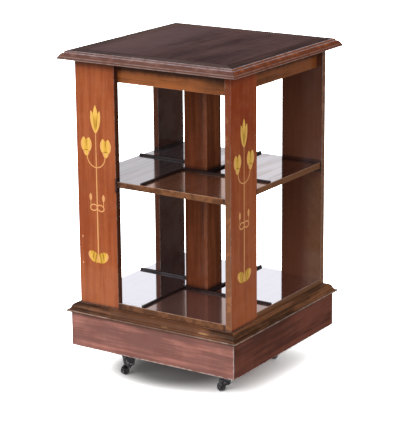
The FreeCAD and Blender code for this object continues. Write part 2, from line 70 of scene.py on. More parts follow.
# %% [markdown]
# ## The view
# The photograph was taken from about four metres, to the right of the front and a little above
# the top. A long lens from there keeps the upright boards nearly parallel. A camera is placed
# by three axes: back along the line of sight, right and up. Turning right and up about the
# line of sight gives the slight tilt of a camera that was held by hand.

# %% Camera
VIEW_AZIMUTH = math.radians(33.2)
VIEW_ELEVATION = math.radians(15.14)
VIEW_ROLL = math.radians(-0.49)
VIEW_DISTANCE = 4.332
VIEW_TARGET = Vector((0.0, 0.0, 0.436))
LENS_MM = 146.57
SHIFT = (-0.00747, -0.03605)

backwards = Vector((math.sin(VIEW_AZIMUTH) * math.cos(VIEW_ELEVATION),
                    -math.cos(VIEW_AZIMUTH) * math.cos(VIEW_ELEVATION),
                    math.sin(VIEW_ELEVATION)))
level_right = Vector((0.0, 0.0, 1.0)).cross(backwards).normalized()
level_up = backwards.cross(level_right)
right = math.cos(VIEW_ROLL) * level_right + math.sin(VIEW_ROLL) * level_up
up = -math.sin(VIEW_ROLL) * level_right + math.cos(VIEW_ROLL) * level_up

camera_data = bpy.data.cameras.new("view_camera")
camera_data.lens = LENS_MM
camera_data.sensor_width = 36.0
camera_data.shift_x, camera_data.shift_y = SHIFT
camera = bpy.data.objects.new("view_camera", camera_data)
axes = Matrix((right, up, backwards)).transposed().to_4x4()
camera.matrix_world = Matrix.Translation(VIEW_TARGET + VIEW_DISTANCE * backwards) @ axes
bpy.context.scene.collection.objects.link(camera)
bpy.context.scene.camera = camera
bpy.context.scene.view_settings.view_transform = "Standard"
print("camera at", tuple(round(v, 3) for v in camera.matrix_world.translation))

# %% [markdown]
# ## Small helpers for node trees
# A procedural finish is a chain of small steps: take a position, stretch it, read a noise,
# remap it, mix two colours. These helpers add one step each and return the socket that holds
# the result, so that a finish reads like a recipe.

# %% Node helpers
def feed(tree, node, inputs):
    """Gives each named input of a node its value, or a link from another node's socket."""
    for socket, value in inputs.items():
        if isinstance(value, bpy.types.NodeSocket):
            tree.links.new(value, node.inputs[socket])
        else:
            node.inputs[socket].default_value = value


def add_node(tree, kind, inputs=None, **settings):
    """Adds a node, sets its options and feeds its inputs."""
    made = tree.nodes.new(kind)
    for option, value in settings.items():
        setattr(made, option, value)
    feed(tree, made, inputs or {})
    return made


def calc(tree, operation, *values):
    """One arithmetic step on numbers."""
    return add_node(tree, "ShaderNodeMath", dict(enumerate(values)), operation=operation).outputs[0]


def vector_calc(tree, operation, *values, result="Vector"):
    """One arithmetic step on positions. LENGTH and DISTANCE give a number, their Value."""
    made = add_node(tree, "ShaderNodeVectorMath", dict(enumerate(values)), operation=operation)
    return made.outputs[result]


def stretched(tree, position, *scales):
    """The position, scaled per axis. A small scale draws a pattern out along that axis."""
    return vector_calc(tree, "MULTIPLY", position, scales)


def split(tree, position):
    """The x, y and z of a position."""
    return add_node(tree, "ShaderNodeSeparateXYZ", {0: position}).outputs


def fade(tree, value, start, end, low=0.0, high=1.0):
    """Runs smoothly from low to high while the value runs from start to end."""
    inputs = {"Value": value, "From Min": start, "From Max": end, "To Min": low, "To Max": high}
    return add_node(tree, "ShaderNodeMapRange", inputs, interpolation_type="SMOOTHSTEP").outputs[0]


MIX_UNDER, MIX_OVER, MIX_RESULT = 6, 7, 2


def mix_colour(tree, share, under, over):
    """The under colour where the share is 0 and the over colour where it is 1."""
    inputs = {0: share, MIX_UNDER: under, MIX_OVER: over}
    return add_node(tree, "ShaderNodeMix", inputs, data_type="RGBA").outputs[MIX_RESULT]


def noise(tree, position, scale, detail=2.0, roughness=0.5):
    """Cloudy noise about 0.5, with features about 1 / scale metres wide."""
    inputs = {"Vector": position, "Scale": scale, "Detail": detail, "Roughness": roughness}
    return add_node(tree, "ShaderNodeTexNoise", inputs).outputs[0]


def rgb(red, green, blue):
    """A colour in linear light, with full alpha."""
    return (red, green, blue, 1.0)


SOCKETS = {"value": "NodeSocketFloat", "colour": "NodeSocketColor", "vector": "NodeSocketVector"}
POSITION = ("Vector", "vector", (0, 0, 0))
MASK = [("Mask", "value")]


def new_group(name, inputs, outputs):
    """A node group with named inputs and outputs. Each input is (name, kind, default)."""
    group = bpy.data.node_groups.new(name, "ShaderNodeTree")
    for socket, kind, default in inputs:
        made = group.interface.new_socket(name=socket, in_out="INPUT", socket_type=SOCKETS[kind])
        made.default_value = default
    for socket, kind in outputs:
        group.interface.new_socket(name=socket, in_out="OUTPUT", socket_type=SOCKETS[kind])
    given, out = group.nodes.new("NodeGroupInput"), group.nodes.new("NodeGroupOutput")
    return group, given.outputs, out.inputs


def use_group(tree, name, inputs):
    """Places a group in a material, with that material's own values."""
    return add_node(tree, "ShaderNodeGroup", inputs, node_tree=bpy.data.node_groups[name]).outputs


def new_finish(name):
    """A new material, its node tree, its shader, and the position on the piece."""
    finish = bpy.data.materials.new(name)
    finish.use_nodes = True
    tree = finish.node_tree
    place = tree.nodes.new("ShaderNodeTexCoord").outputs["Object"]
    return finish, tree, tree.nodes["Principled BSDF"], place


print("the node helpers are ready")

# %% [markdown]
# ## Floor, background and light
# The case stands on a white sweep. The floor is lit like any surface, so it keeps the soft
# shadow under the case. The lens sees it in a paint so pale that its lit part comes out plain
# white. That paint turns grey in a round under the case, which keeps the middle of the shadow
# deep while its rim fades out softly. Mirror rays see an evenly lit white floor, as a polished
# shelf does in a white studio. One broad lamp from the front left makes the front brighter than
# the right side, and the even white surroundings fill the rest.

# %% Stage
FLOOR_REACH = 30.0
FLOOR_PAINT = rgb(0.80, 0.80, 0.80)
FLOOR_SEEN = rgb(4.0, 4.05, 4.05)
FLOOR_UNDER_CASE = rgb(0.60, 0.60, 0.60)
UNDER_CASE = (0.095, 0.255)
SHADE_CENTRE = (-0.05, -0.035, 0.0)
FLOOR_MIRRORED = rgb(0.46, 0.44, 0.45)
MIRROR_GLOW = 0.70
GLOW_TINT = rgb(0.97, 1.0, 0.98)
KEY_STRENGTH = 2.35
KEY_SPREAD = math.radians(70.0)
KEY_FROM = Vector((-0.20, -0.80, 0.70))
SKY_STRENGTH = 0.5


def seen_how(tree):
    """Two switches: 1 for rays from the lens, and 1 for rays from a mirror or through glass."""
    path = tree.nodes.new("ShaderNodeLightPath").outputs
    by_mirror = calc(tree, "MAXIMUM", path["Is Glossy Ray"], path["Is Transmission Ray"])
    return path["Is Camera Ray"], by_mirror


def make_floor():
    """A wide white sheet with a paint for the lens, one for mirrors and one for other light."""
    corners = np.array([(-1, -1, 0), (1, -1, 0), (1, 1, 0), (-1, 1, 0)]) * FLOOR_REACH
    mesh = bpy.data.meshes.new("floor")
    mesh.from_pydata(corners.tolist(), [], [(0, 1, 2, 3)])
    floor = bpy.data.objects.new("floor", mesh)
    bpy.context.scene.collection.objects.link(floor)
    finish = bpy.data.materials.new("floor_sweep")
    finish.use_nodes = True
    tree = finish.node_tree
    tree.nodes.clear()
    by_lens, by_mirror = seen_how(tree)
    place = tree.nodes.new("ShaderNodeTexCoord").outputs["Object"]
    apart = vector_calc(tree, "DISTANCE", place, SHADE_CENTRE, result="Value")
    graded = mix_colour(tree, fade(tree, apart, *UNDER_CASE), FLOOR_UNDER_CASE, FLOOR_SEEN)
    tint = mix_colour(tree, by_lens, FLOOR_PAINT, graded)
    tint = mix_colour(tree, by_mirror, tint, FLOOR_MIRRORED)
    matt = add_node(tree, "ShaderNodeBsdfDiffuse", {"Color": tint}).outputs[0]
    glow = calc(tree, "MULTIPLY", by_mirror, MIRROR_GLOW)
    light = add_node(tree, "ShaderNodeEmission", {"Color": GLOW_TINT, "Strength": glow}).outputs[0]
    both = add_node(tree, "ShaderNodeAddShader", {0: matt, 1: light}).outputs[0]
    add_node(tree, "ShaderNodeOutputMaterial", {"Surface": both})
    mesh.materials.append(finish)


def make_world():
    """White surroundings: dim as a light, and full white where a mirror or the lens looks out."""
    world = bpy.data.worlds.new("white_surroundings")
    bpy.context.scene.world = world
    world.use_nodes = True
    tree = world.node_tree
    tree.nodes.clear()
    strength = fade(tree, calc(tree, "MAXIMUM", *seen_how(tree)), 0.0, 1.0, SKY_STRENGTH, 1.0)
    inputs = {"Color": rgb(1, 1, 1), "Strength": strength}
    sky = add_node(tree, "ShaderNodeBackground", inputs).outputs[0]
    add_node(tree, "ShaderNodeOutputWorld", {"Surface": sky})


def make_key_light():
    """A lamp as broad as a large window, so that its shadows are soft."""
    data = bpy.data.lights.new("key_light", "SUN")
    data.energy = KEY_STRENGTH
    data.angle = KEY_SPREAD
    lamp = bpy.data.objects.new("key_light", data)
    lamp.rotation_euler = KEY_FROM.to_track_quat("Z", "Y").to_euler()
    bpy.context.scene.collection.objects.link(lamp)


make_floor()
make_world()
make_key_light()
print("stage is set, with one lamp and white surroundings")

# %% [markdown]
# ## Effect: the figure of mahogany
# Old mahogany shows long soft streaks along the grain, slow drifts from orange to red brown,
# a cross-wise shimmer, and short dark pores. Each is a noise, stretched along the grain, which
# runs along Z of the position that goes in. The same group serves every board, and each board
# gives it its own two colours and amounts.

# %% Group: mahogany_figure
PORE_BROWN = rgb(0.03, 0.012, 0.008)


def make_figure_group():
    """The tone is 0.5 plus each noise's swing. It picks the colour between Deep and Light."""
    group, given, out = new_group(
        "mahogany_figure",
        [POSITION, ("Light", "colour", rgb(0.4, 0.1, 0.03)),
         ("Deep", "colour", rgb(0.2, 0.05, 0.02)),
         ("Streaks", "value", 1.0), ("Clouds", "value", 1.0), ("Pores", "value", 0.5)],
        [("Color", "colour"), ("Height", "value"), ("Dull", "value")])
    place = given["Vector"]
    streak = noise(group, stretched(group, place, 1.0, 1.0, 0.05), 90.0, 4.0, 0.6)
    drift = noise(group, stretched(group, place, 1.0, 1.0, 0.3), 13.0, 3.0, 0.55)
    shimmer = noise(group, stretched(group, place, 0.5, 0.5, 1.0), 55.0, 2.0)
    fibre = noise(group, stretched(group, place, 1.0, 1.0, 0.03), 620.0, 2.0)
    specks = noise(group, stretched(group, place, 1.0, 1.0, 0.07), 1300.0, 1.0)
    pore = fade(group, specks, 0.63, 0.74)
    streaks = calc(group, "MULTIPLY", calc(group, "SUBTRACT", streak, 0.5), given["Streaks"])
    clouds = calc(group, "MULTIPLY", calc(group, "SUBTRACT", drift, 0.5), given["Clouds"])
    tone = calc(group, "MULTIPLY_ADD", streaks, 1.6, 0.5)
    tone = calc(group, "MULTIPLY_ADD", clouds, 1.8, tone)
    tone = calc(group, "MULTIPLY_ADD", calc(group, "SUBTRACT", shimmer, 0.5), 0.35, tone)
    tone = calc(group, "MULTIPLY_ADD", calc(group, "SUBTRACT", fibre, 0.5), 0.5, tone)
    colour = mix_colour(group, fade(group, tone, 0.0, 1.0), given["Deep"], given["Light"])
    dark_pore = calc(group, "MULTIPLY", pore, given["Pores"])
    colour = mix_colour(group, dark_pore, colour, PORE_BROWN)
    group.links.new(colour, out["Color"])
    height = calc(group, "SUBTRACT", calc(group, "MULTIPLY", fibre, 0.4), pore)
    group.links.new(height, out["Height"])
    group.links.new(fade(group, noise(group, place, 34.0, 5.0, 0.65), 0.35, 0.7), out["Dull"])


make_figure_group()
print("mahogany_figure is ready")

# %% [markdown]
# ## Effect: arris wear and highlight
# An arris is the line where two faces of a board meet. Hands and dusters wear the colour off it,
# and a pale line along it is also painted there as a highlight. For a plain board the distance to
# each pair of faces is known from its box: a point is near an arris when two of its three
# distances are small, so the middle one of the three decides.

# %% Group: arris_wear_and_highlight
def make_arris_group():
    """Low and High are the corners of the board's box, and Width is how far the mark reaches."""
    group, given, out = new_group(
        "arris_wear_and_highlight",
        [POSITION, ("Low", "vector", (0, 0, 0)), ("High", "vector", (1, 1, 1)),
         ("Width", "value", 0.002)], MASK)
    from_low = vector_calc(group, "SUBTRACT", given["Vector"], given["Low"])
    from_high = vector_calc(group, "SUBTRACT", given["High"], given["Vector"])
    near = vector_calc(group, "ABSOLUTE", vector_calc(group, "MINIMUM", from_low, from_high))
    x, y, z = split(group, near)
    middle = calc(group, "MAXIMUM", calc(group, "MINIMUM", x, y),
                  calc(group, "MINIMUM", calc(group, "MAXIMUM", x, y), z))
    patches = noise(group, given["Vector"], 75.0, 3.0, 0.6)
    width = calc(group, "MULTIPLY", given["Width"], fade(group, patches, 0.3, 0.7, 0.4, 1.3))
    share = calc(group, "DIVIDE", middle, width)
    strength = fade(group, patches, 0.25, 0.6, 0.25, 1.0)
    mask = calc(group, "MULTIPLY", fade(group, share, 1.0, 0.35), strength)
    group.links.new(mask, out["Mask"])


make_arris_group()
print("arris_wear_and_highlight is ready")

# %% [markdown]
# ## Effect: lines that run round the case
# The top, the base moulding and the plinth run round the case as mitred squares. Seen from the
# axis, a point on such a square lies at the larger of |x| and |y|, at some height. An arris of
# the moulding is one point of that section, so a line along it is a small disc about the point:
# wear with a painted highlight, painted shade in a hollow, or a dark joint. The mitre itself is
# where |x| equals |y|.

# %% Groups: ring_arris and mitre_joint
def square_distance(tree, position):
    """The larger of |x| and |y|, the smaller of them, and the height."""
    x, y, z = split(tree, vector_calc(tree, "ABSOLUTE", position))
    return calc(tree, "MAXIMUM", x, y), calc(tree, "MINIMUM", x, y), z


def make_ring_group():
    """A line round the case, at one distance from the axis and one height."""
    group, given, out = new_group(
        "ring_arris",
        [POSITION, ("Distance", "value", 0.2), ("Height", "value", 0.5),
         ("Width", "value", 0.001)], MASK)
    away, _, height = square_distance(group, given["Vector"])
    sideways = calc(group, "SUBTRACT", away, given["Distance"])
    upwards = calc(group, "SUBTRACT", height, given["Height"])
    squares = calc(group, "MULTIPLY", upwards, upwards)
    squares = calc(group, "MULTIPLY_ADD", sideways, sideways, squares)
    patches = noise(group, given["Vector"], 60.0, 3.0, 0.6)
    share = calc(group, "DIVIDE", calc(group, "SQRT", squares), given["Width"])
    strength = fade(group, patches, 0.3, 0.6, 0.35, 1.0)
    mask = calc(group, "MULTIPLY", fade(group, share, 1.0, 0.4), strength)
    group.links.new(mask, out["Mask"])


def make_mitre_group():
    """The fine line where two mitred lengths meet."""
    group, given, out = new_group("mitre_joint", [POSITION, ("Width", "value", 0.0006)], MASK)
    away, across, _ = square_distance(group, given["Vector"])
    share = calc(group, "DIVIDE", calc(group, "SUBTRACT", away, across), given["Width"])
    group.links.new(fade(group, share, 1.0, 0.5), out["Mask"])


make_ring_group()
make_mitre_group()
print("ring_arris and mitre_joint are ready")

# %% [markdown]
# ## Effect: a small chip
# Here and there a flake of polish is gone and paler wood shows. A chip is a small ball about a
# point on the surface, with a ragged rim from noise.

# %% Group: small_chip
def make_chip_group():
    """Reach is the chip's half size along each axis."""
    group, given, out = new_group(
        "small_chip",
        [POSITION, ("Centre", "vector", (0, 0, 0)),
         ("Reach", "vector", (0.003, 0.003, 0.003))], MASK)
    offset = vector_calc(group, "SUBTRACT", given["Vector"], given["Centre"])
    offset = vector_calc(group, "DIVIDE", offset, given["Reach"])
    length = vector_calc(group, "LENGTH", offset, result="Value")
    rim = noise(group, given["Vector"], 420.0, 3.0, 0.6)
    ragged = calc(group, "MULTIPLY_ADD", rim, 1.1, length)
    group.links.new(fade(group, ragged, 1.45, 1.1), out["Mask"])


make_chip_group()
print("small_chip is ready")

# %% [markdown]
# ## Effect: a soft-edged patch
# Some marks fill a stretch of the piece: the painted shade on a face inside the case, a foot
# bleached by mopping, the painted shadow under a ledge. The patch is a box whose walls fade over a
# given width. A point's depth inside it is its distance to the nearest wall.

# %% Group: soft_patch
def make_patch_group():
    """Low and High are the box's corners, Soft its fade's width, and Ragged how torn the rim is."""
    group, given, out = new_group(
        "soft_patch",
        [POSITION, ("Low", "vector", (-1, -1, -1)), ("High", "vector", (1, 1, 1)),
         ("Soft", "value", 0.001), ("Ragged", "value", 0.0)], MASK)
    from_low = vector_calc(group, "SUBTRACT", given["Vector"], given["Low"])
    from_high = vector_calc(group, "SUBTRACT", given["High"], given["Vector"])
    x, y, z = split(group, vector_calc(group, "MINIMUM", from_low, from_high))
    nearest = calc(group, "MINIMUM", calc(group, "MINIMUM", x, y), z)
    depth = calc(group, "DIVIDE", nearest, given["Soft"])
    uneven = calc(group, "SUBTRACT", noise(group, given["Vector"], 48.0, 4.0, 0.6), 0.5)
    depth = calc(group, "MULTIPLY_ADD", uneven, given["Ragged"], depth)
    group.links.new(fade(group, depth, -0.5, 0.5), out["Mask"])


make_patch_group()
print("soft_patch is ready")

# %% [markdown]
# ## A recipe for polished wood
# French polish is many thin coats of shellac: a clear, glossy film over the colour. So each wood
# is a matt base with the figure, under a coat whose weight says how much gloss is left. The
# figure is turned so that its grain follows the piece: first back to the front side by quarter
# turns, then from Z to the piece's own length. Marks are laid over the colour: wear and stains,
# and also painted shade and painted highlights. The film is thinner where any mark lies.
#
# A polished shelf seen at a low angle is almost a mirror. There the recipe lets the wood turn
# metallic as the view gets flatter, and paler, because the mirror shows the white room. Scuffs
# along the grain break the mirror up. Only faces that look up get it, so the edges stay wood.

# %% Wood recipe
# Pale colours for arrises: wear and a painted highlight together; the pale one also colours a chip.
PALE_WEAR_AND_HIGHLIGHT = rgb(0.42, 0.25, 0.17)
GREY_WEAR_AND_HIGHLIGHT = rgb(0.36, 0.27, 0.24)
BRIGHT_WEAR_AND_HIGHLIGHT = rgb(0.42, 0.35, 0.38)
DARK_LINE = rgb(0.012, 0.006, 0.005)
ROOM_WHITE = rgb(0.86, 0.85, 0.99)
QUARTER = math.pi / 2.0


def figure_turn(grain, quarter):
    """The rotation that brings a piece on that side, with that grain axis, to grain along Z."""
    to_front = Matrix.Rotation(-QUARTER * quarter, 3, "Z")
    to_grain = Matrix.Rotation(QUARTER, 3, "Y") if grain == "X" else Matrix.Identity(3)
    return (to_grain @ to_front).to_euler("XYZ")


def bumped(tree, strength, depth, height):
    """The surface normal, tilted by a height pattern of the given depth."""
    inputs = {"Strength": strength, "Distance": depth, "Height": height}
    return add_node(tree, "ShaderNodeBump", inputs).outputs[0]


def laid_over(tree, colour, position, marks):
    """The colour with each mark painted over it, and how strongly each point is marked."""
    mark_share = None
    for group, inputs, paint, strength in marks:
        mask = use_group(tree, group, {"Vector": position, **inputs})["Mask"]
        share = calc(tree, "MULTIPLY", mask, strength)
        colour = mix_colour(tree, share, colour, paint)
        mark_share = share if mark_share is None else calc(tree, "MAXIMUM", mark_share, share)
    return colour, mark_share


def low_view_mirror(tree, shader, colour, position, mark_share, upward, matt, pale, scuffs, blur):
    """Makes faces that look up a mirror at a low angle, and returns the colour.

    pale is how white the mirror is, scuffs is how far streaks take that away, and blur is its
    roughness."""
    facing = add_node(tree, "ShaderNodeLayerWeight", {"Blend": 0.5}).outputs["Facing"]
    slant = calc(tree, "MULTIPLY", fade(tree, facing, 0.45, 0.70), upward)
    streaks = noise(tree, stretched(tree, position, 1.0, 1.0, 0.06), 48.0, 4.0, 0.65)
    scuffed = fade(tree, streaks, 0.42, 0.68, 1.0, 1.0 - scuffs)
    whole = calc(tree, "SUBTRACT", 1.0, calc(tree, "MULTIPLY", mark_share, 0.25))
    hazy = calc(tree, "MULTIPLY_ADD", mark_share, 0.10, blur)
    feed(tree, shader, {"Metallic": calc(tree, "MULTIPLY", slant, whole),
                        "Roughness": fade(tree, slant, 0.0, 0.6, matt, hazy)})
    clean = calc(tree, "MULTIPLY", scuffed, calc(tree, "SUBTRACT", 1.0, mark_share))
    bright = calc(tree, "MULTIPLY", calc(tree, "MULTIPLY", slant, clean), pale)
    return mix_colour(tree, bright, colour, ROOM_WHITE)


def wood(name, light, deep, grain="Z", quarter=0, seed=0.0, streaks=1.0, clouds=1.0, pores=0.5,
         gloss=0.5, film_rough=0.12, film_ior=1.5, dulled=0.45, matt=0.5, relief=0.25, marks=(),
         only_up=None, mirror=None):
    """A polished wood. A mark is (group, its inputs, colour, strength), laid over in order.

    gloss is the film's weight, and tired spots lose the share dulled of it. only_up is the share
    that is left on upright faces. mirror holds the last three values of low_view_mirror."""
    finish, tree, shader, place = new_finish(name)
    turned = add_node(tree, "ShaderNodeMapping", {
        "Vector": place, "Rotation": figure_turn(grain, quarter),
        "Location": (seed, 0.37 * seed, 0.71 * seed)}).outputs[0]
    figure = use_group(tree, "mahogany_figure", {
        "Vector": turned, "Light": rgb(*light), "Deep": rgb(*deep),
        "Streaks": streaks, "Clouds": clouds, "Pores": pores})
    to_front = add_node(tree, "ShaderNodeMapping", {
        "Vector": place, "Rotation": Euler((0.0, 0.0, -QUARTER * quarter))}).outputs[0]
    colour, mark_share = laid_over(tree, figure["Color"], to_front, marks)
    film = fade(tree, figure["Dull"], 0.0, 1.0, gloss, (1.0 - dulled) * gloss)
    if mark_share is not None:
        left = calc(tree, "SUBTRACT", 1.0, calc(tree, "MULTIPLY", mark_share, 0.6))
        film = calc(tree, "MULTIPLY", film, left)
    feed(tree, shader, {"Roughness": matt, "Specular IOR Level": 0.0,
                        "Coat Roughness": film_rough, "Coat IOR": film_ior})
    if only_up is not None:
        normal = tree.nodes.new("ShaderNodeNewGeometry").outputs["Normal"]
        upward = fade(tree, split(tree, normal)[2], 0.7, 0.95)
        film = calc(tree, "MULTIPLY", film, fade(tree, upward, 0.0, 1.0, only_up, 1.0))
        colour = low_view_mirror(tree, shader, colour, turned, mark_share, upward, matt, *mirror)
    feed(tree, shader, {"Base Color": colour, "Coat Weight": film,
                        "Normal": bumped(tree, relief, 0.0004, figure["Height"])})
    return finish


def paint_node(node, finish):
    """Puts a finish in every slot of a piece that comes from the frame."""
    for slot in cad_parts[node].material_slots:
        slot.material = finish


print("the wood recipe is ready")

# %% [markdown]
# ## Naming the marks
# A board's finish is then little more than its two colours and a list of marks. These helpers
# write one mark each, as a group's name, its inputs, a paint and a strength. The marks are given
# as they lie on the front side, and the recipe turns them to the piece's own side.

# %% Marks
def patch(soft, paint, strength, ragged=0.0, x_from=-1.0, x_to=1.0, y_from=-1.0, y_to=1.0,
          z_from=-1.0, z_to=1.0):
    """A soft-edged patch. The directions that are given no limit stay open."""
    return ("soft_patch", {"Low": (x_from, y_from, z_from), "High": (x_to, y_to, z_to),
                           "Soft": soft, "Ragged": ragged}, paint, strength)


def arris_mark(low, high, width, paint, strength):
    """Wear and a painted highlight along the arrises of the box between two corners."""
    return ("arris_wear_and_highlight", {"Low": low, "High": high, "Width": width}, paint, strength)


def ring_mark(distance, height, width, paint, strength):
    """A mark along one line of a section that runs round the case."""
    return ("ring_arris", {"Distance": distance, "Height": height, "Width": width}, paint, strength)


def chip_mark(centre, reach, paint, strength):
    """One chip."""
    return ("small_chip", {"Centre": centre, "Reach": reach}, paint, strength)


def shaded(colour, shade):
    """The colour, lighter or darker."""
    return tuple(channel * shade for channel in colour)


def per_side(front, right, back, left):
    """One value for each side of the case."""
    return dict(zip(SIDES, (front, right, back, left)))


MITRE_LINE = ("mitre_joint", {"Width": 0.0010}, DARK_LINE, 0.6)
print("five kinds of mark can be named")

# %% [markdown]
# ## The upright boards
# Each side has one wide board at its left end, and the next side's board stands behind its edge,
# like the sails of a windmill. The fronts of the four boards are plain, straight-grained mahogany
# of an orange brown, which sets off the inlay. Their long edges are greyed by wear and carry a
# painted highlight, with a few pale chips on the front board's left edge, and the foot of two
# boards is bleached by mopping. Shade is painted on them as well: each board's colour is scaled
# darker per side, most on the back and left boards; the inner faces are a dull dark brown,
# blackest at the shelf; the edge towards the bay is dark; and dark bands run under the top and
# along the foot. A pale glint is painted low on the back board's inner face, near its left end.

# %% Boards
BOARD_LIGHT = (0.42, 0.110, 0.034)
BOARD_DEEP = (0.30, 0.062, 0.016)
# Painted shade: each board's whole colour is scaled per side, darkest on the back and left boards.
BOARD_PAINTED_SHADE = per_side(0.95, 0.95, 0.85, 0.9)
BOARD_GLOSS = per_side(0.35, 0.12, 0.35, 0.35)
BOARD_LOW, BOARD_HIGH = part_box("side_board_front")
OUTER_FACE = BOARD_LOW.y + 0.002
INNER_FACE = BOARD_HIGH.y - 0.0015
LAP_EDGE = BOARD_LOW.x + 0.0006
SHELF_LOW, SHELF_TOP = (float(corner.z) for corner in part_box("middle_shelf"))
FLOOR_TOP = float(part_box("bottom_shelf")[1].z)
# Painted shade: the boards' inner faces are darkened where little light reaches inside the case.
INSIDE_SHADE_BROWN = per_side((0.06, 0.025, 0.016), (0.07, 0.028, 0.018),
                        (0.078, 0.036, 0.025), (0.032, 0.014, 0.011))
INSIDE_SHADE_SHARE = per_side(0.92, 0.92, 0.79, 0.89)
# Painted highlight: a pale glint on the back board's inner face.
PAINTED_INSIDE_GLINT = rgb(0.20, 0.105, 0.048)
# Painted shade: dark bands where parts meet the shelves, at the column's foot and under the rails.
PAINTED_SHADE_DARK = rgb(0.022, 0.010, 0.009)
# Painted shadow of the top along the board's upper end, and painted shade along its foot.
PAINTED_END_SHADE = rgb(0.05, 0.018, 0.010)
# Painted shade on the board's edge that faces into the bay.
BAY_EDGE_SHADE = rgb(0.060, 0.022, 0.012)
LAP_BROWN = rgb(0.275, 0.130, 0.062)
LAP_DIRT = rgb(0.060, 0.026, 0.018)
BLEACHED = rgb(0.50, 0.23, 0.14)
RED_STAIN = rgb(0.23, 0.024, 0.006)
CHIP_BARE = rgb(0.78, 0.38, 0.20)
EDGE_CHIPS = [((-0.2085, -0.220, 0.365), (0.0022, 0.003, 0.0040)),
              ((-0.2200, -0.220, 0.368), (0.0026, 0.003, 0.0055)),
              ((-0.2090, -0.220, 0.2984), (0.0024, 0.003, 0.0036)),
              ((-0.2195, -0.220, 0.307), (0.0024, 0.003, 0.0050))]
BOARD_MARKS = [
    # Painted shade along the edge towards the bay.
    patch(0.001, BAY_EDGE_SHADE, 0.85, x_from=BOARD_HIGH.x - 0.0008),
    patch(0.0008, LAP_BROWN, 0.75, x_to=LAP_EDGE),
    patch(0.0008, LAP_DIRT, 0.50, 9.0, x_to=LAP_EDGE),
    # Painted shade on the bay edge beside the middle shelf.
    patch(0.006, PAINTED_SHADE_DARK, 0.85, x_from=BOARD_HIGH.x - 0.004, z_from=SHELF_LOW - 0.012,
          z_to=SHELF_TOP + 0.008),
    # Painted shadow under the top, then painted shade where the board meets the moulding.
    patch(0.020, PAINTED_END_SHADE, 0.75, z_from=BOARD_HIGH.z - 0.017),
    patch(0.006, PAINTED_END_SHADE, 0.7, z_to=BOARD_LOW.z + 0.003),
    arris_mark(BOARD_LOW, BOARD_HIGH, 0.0018, GREY_WEAR_AND_HIGHLIGHT, 0.35),
]
# Painted shade on the inner face beside the middle shelf.
BY_SHELF = patch(0.006, PAINTED_SHADE_DARK, 0.85, y_from=INNER_FACE, z_from=SHELF_LOW - 0.010,
                 z_to=SHELF_TOP + 0.006)
OWN_MARKS = per_side(
    [chip_mark(centre, reach, CHIP_BARE, 0.95) for centre, reach in EDGE_CHIPS] + [
        patch(0.07, BLEACHED, 0.22, 0.8, y_to=OUTER_FACE, z_to=BOARD_LOW.z + 0.085)],
    [patch(0.25, BLEACHED, 0.18, 0.8, y_to=OUTER_FACE, z_to=BOARD_LOW.z + 0.200),
     patch(0.28, RED_STAIN, 0.85, 0.8, y_to=OUTER_FACE, z_from=BOARD_LOW.z + 0.480)],
    # Painted highlight low on the inner face, near the left end.
    [patch(0.030, PAINTED_INSIDE_GLINT, 0.5, 0.8, x_to=BOARD_LOW.x + 0.036, y_from=INNER_FACE,
           z_to=SHELF_LOW - 0.03)],
    [])

for quarter, side in enumerate(SIDES):
    shade = BOARD_PAINTED_SHADE[side]
    # Painted shade over each board's inner face.
    inside = patch(0.001, rgb(*INSIDE_SHADE_BROWN[side]), INSIDE_SHADE_SHARE[side], y_from=INNER_FACE)
    paint_node("side_board_" + side, wood(
        "mahogany_board_" + side, shaded(BOARD_LIGHT, shade), shaded(BOARD_DEEP, shade),
        quarter=quarter, seed=1.0 + quarter, streaks=1.3, gloss=BOARD_GLOSS[side],
        film_rough=0.14, marks=[inside, BY_SHELF] + BOARD_MARKS + OWN_MARKS[side]))
print("four boards are polished")

# %% [markdown]
# ## The top
# The top is a square field in a mitred border with a moulded edge. Its polish has gone dull and
# a plum brown, mottled where cups and books have stood, with a paler bloom towards the back of
# the field. Two lines of wear and painted highlight run round it: the arris of the flat, and the
# small step below the bead. The moulded edge is rubbed down to a redder brown and stained in
# patches, its lower edge carries wear and a painted highlight as well, and fine dark lines mark
# the mitres and the joint round the field.

# %% Top
TOP_EDGE = float(cad_high.x)
TOP_LEVEL = float(cad_high.z)
FLAT_EDGE = 0.234
FIELD_EDGE = float(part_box("top_panel")[1].x)
FIELD_JOINT = ring_mark(FIELD_EDGE, TOP_LEVEL, 0.0012, DARK_LINE, 0.7)
# The four lighter rings are wear and painted highlights along the arrises.
TOP_MARKS = [
    ring_mark(FLAT_EDGE, TOP_LEVEL, 0.0020, BRIGHT_WEAR_AND_HIGHLIGHT, 0.95),
    ring_mark(0.2384, TOP_LEVEL - 0.0050, 0.0018, BRIGHT_WEAR_AND_HIGHLIGHT, 0.9),
    ring_mark(TOP_EDGE, TOP_LEVEL - 0.0190, 0.0018, GREY_WEAR_AND_HIGHLIGHT, 0.7),
    ring_mark(TOP_EDGE - 0.0020, TOP_LEVEL - 0.0135, 0.0016, GREY_WEAR_AND_HIGHLIGHT, 0.5),
    FIELD_JOINT,
    MITRE_LINE,
]
TOP_CHIP = chip_mark((0.0168, -0.240, 0.822), (0.010, 0.003, 0.0022), PALE_WEAR_AND_HIGHLIGHT, 0.9)
CUP_STAINS = rgb(0.055, 0.022, 0.017)
FIELD_BLOOM = rgb(0.150, 0.092, 0.095)
BORDER_LIGHT = per_side((0.086, 0.045, 0.040), (0.075, 0.038, 0.034),
                        (0.110, 0.056, 0.048), (0.110, 0.056, 0.048))
BORDER_GLOSS = per_side(0.12, 0.05, 0.10, 0.12)
EDGE_STAIN = per_side((0.170, 0.070, 0.052), (0.230, 0.055, 0.022),
                      (0.10, 0.03, 0.02), (0.10, 0.03, 0.02))
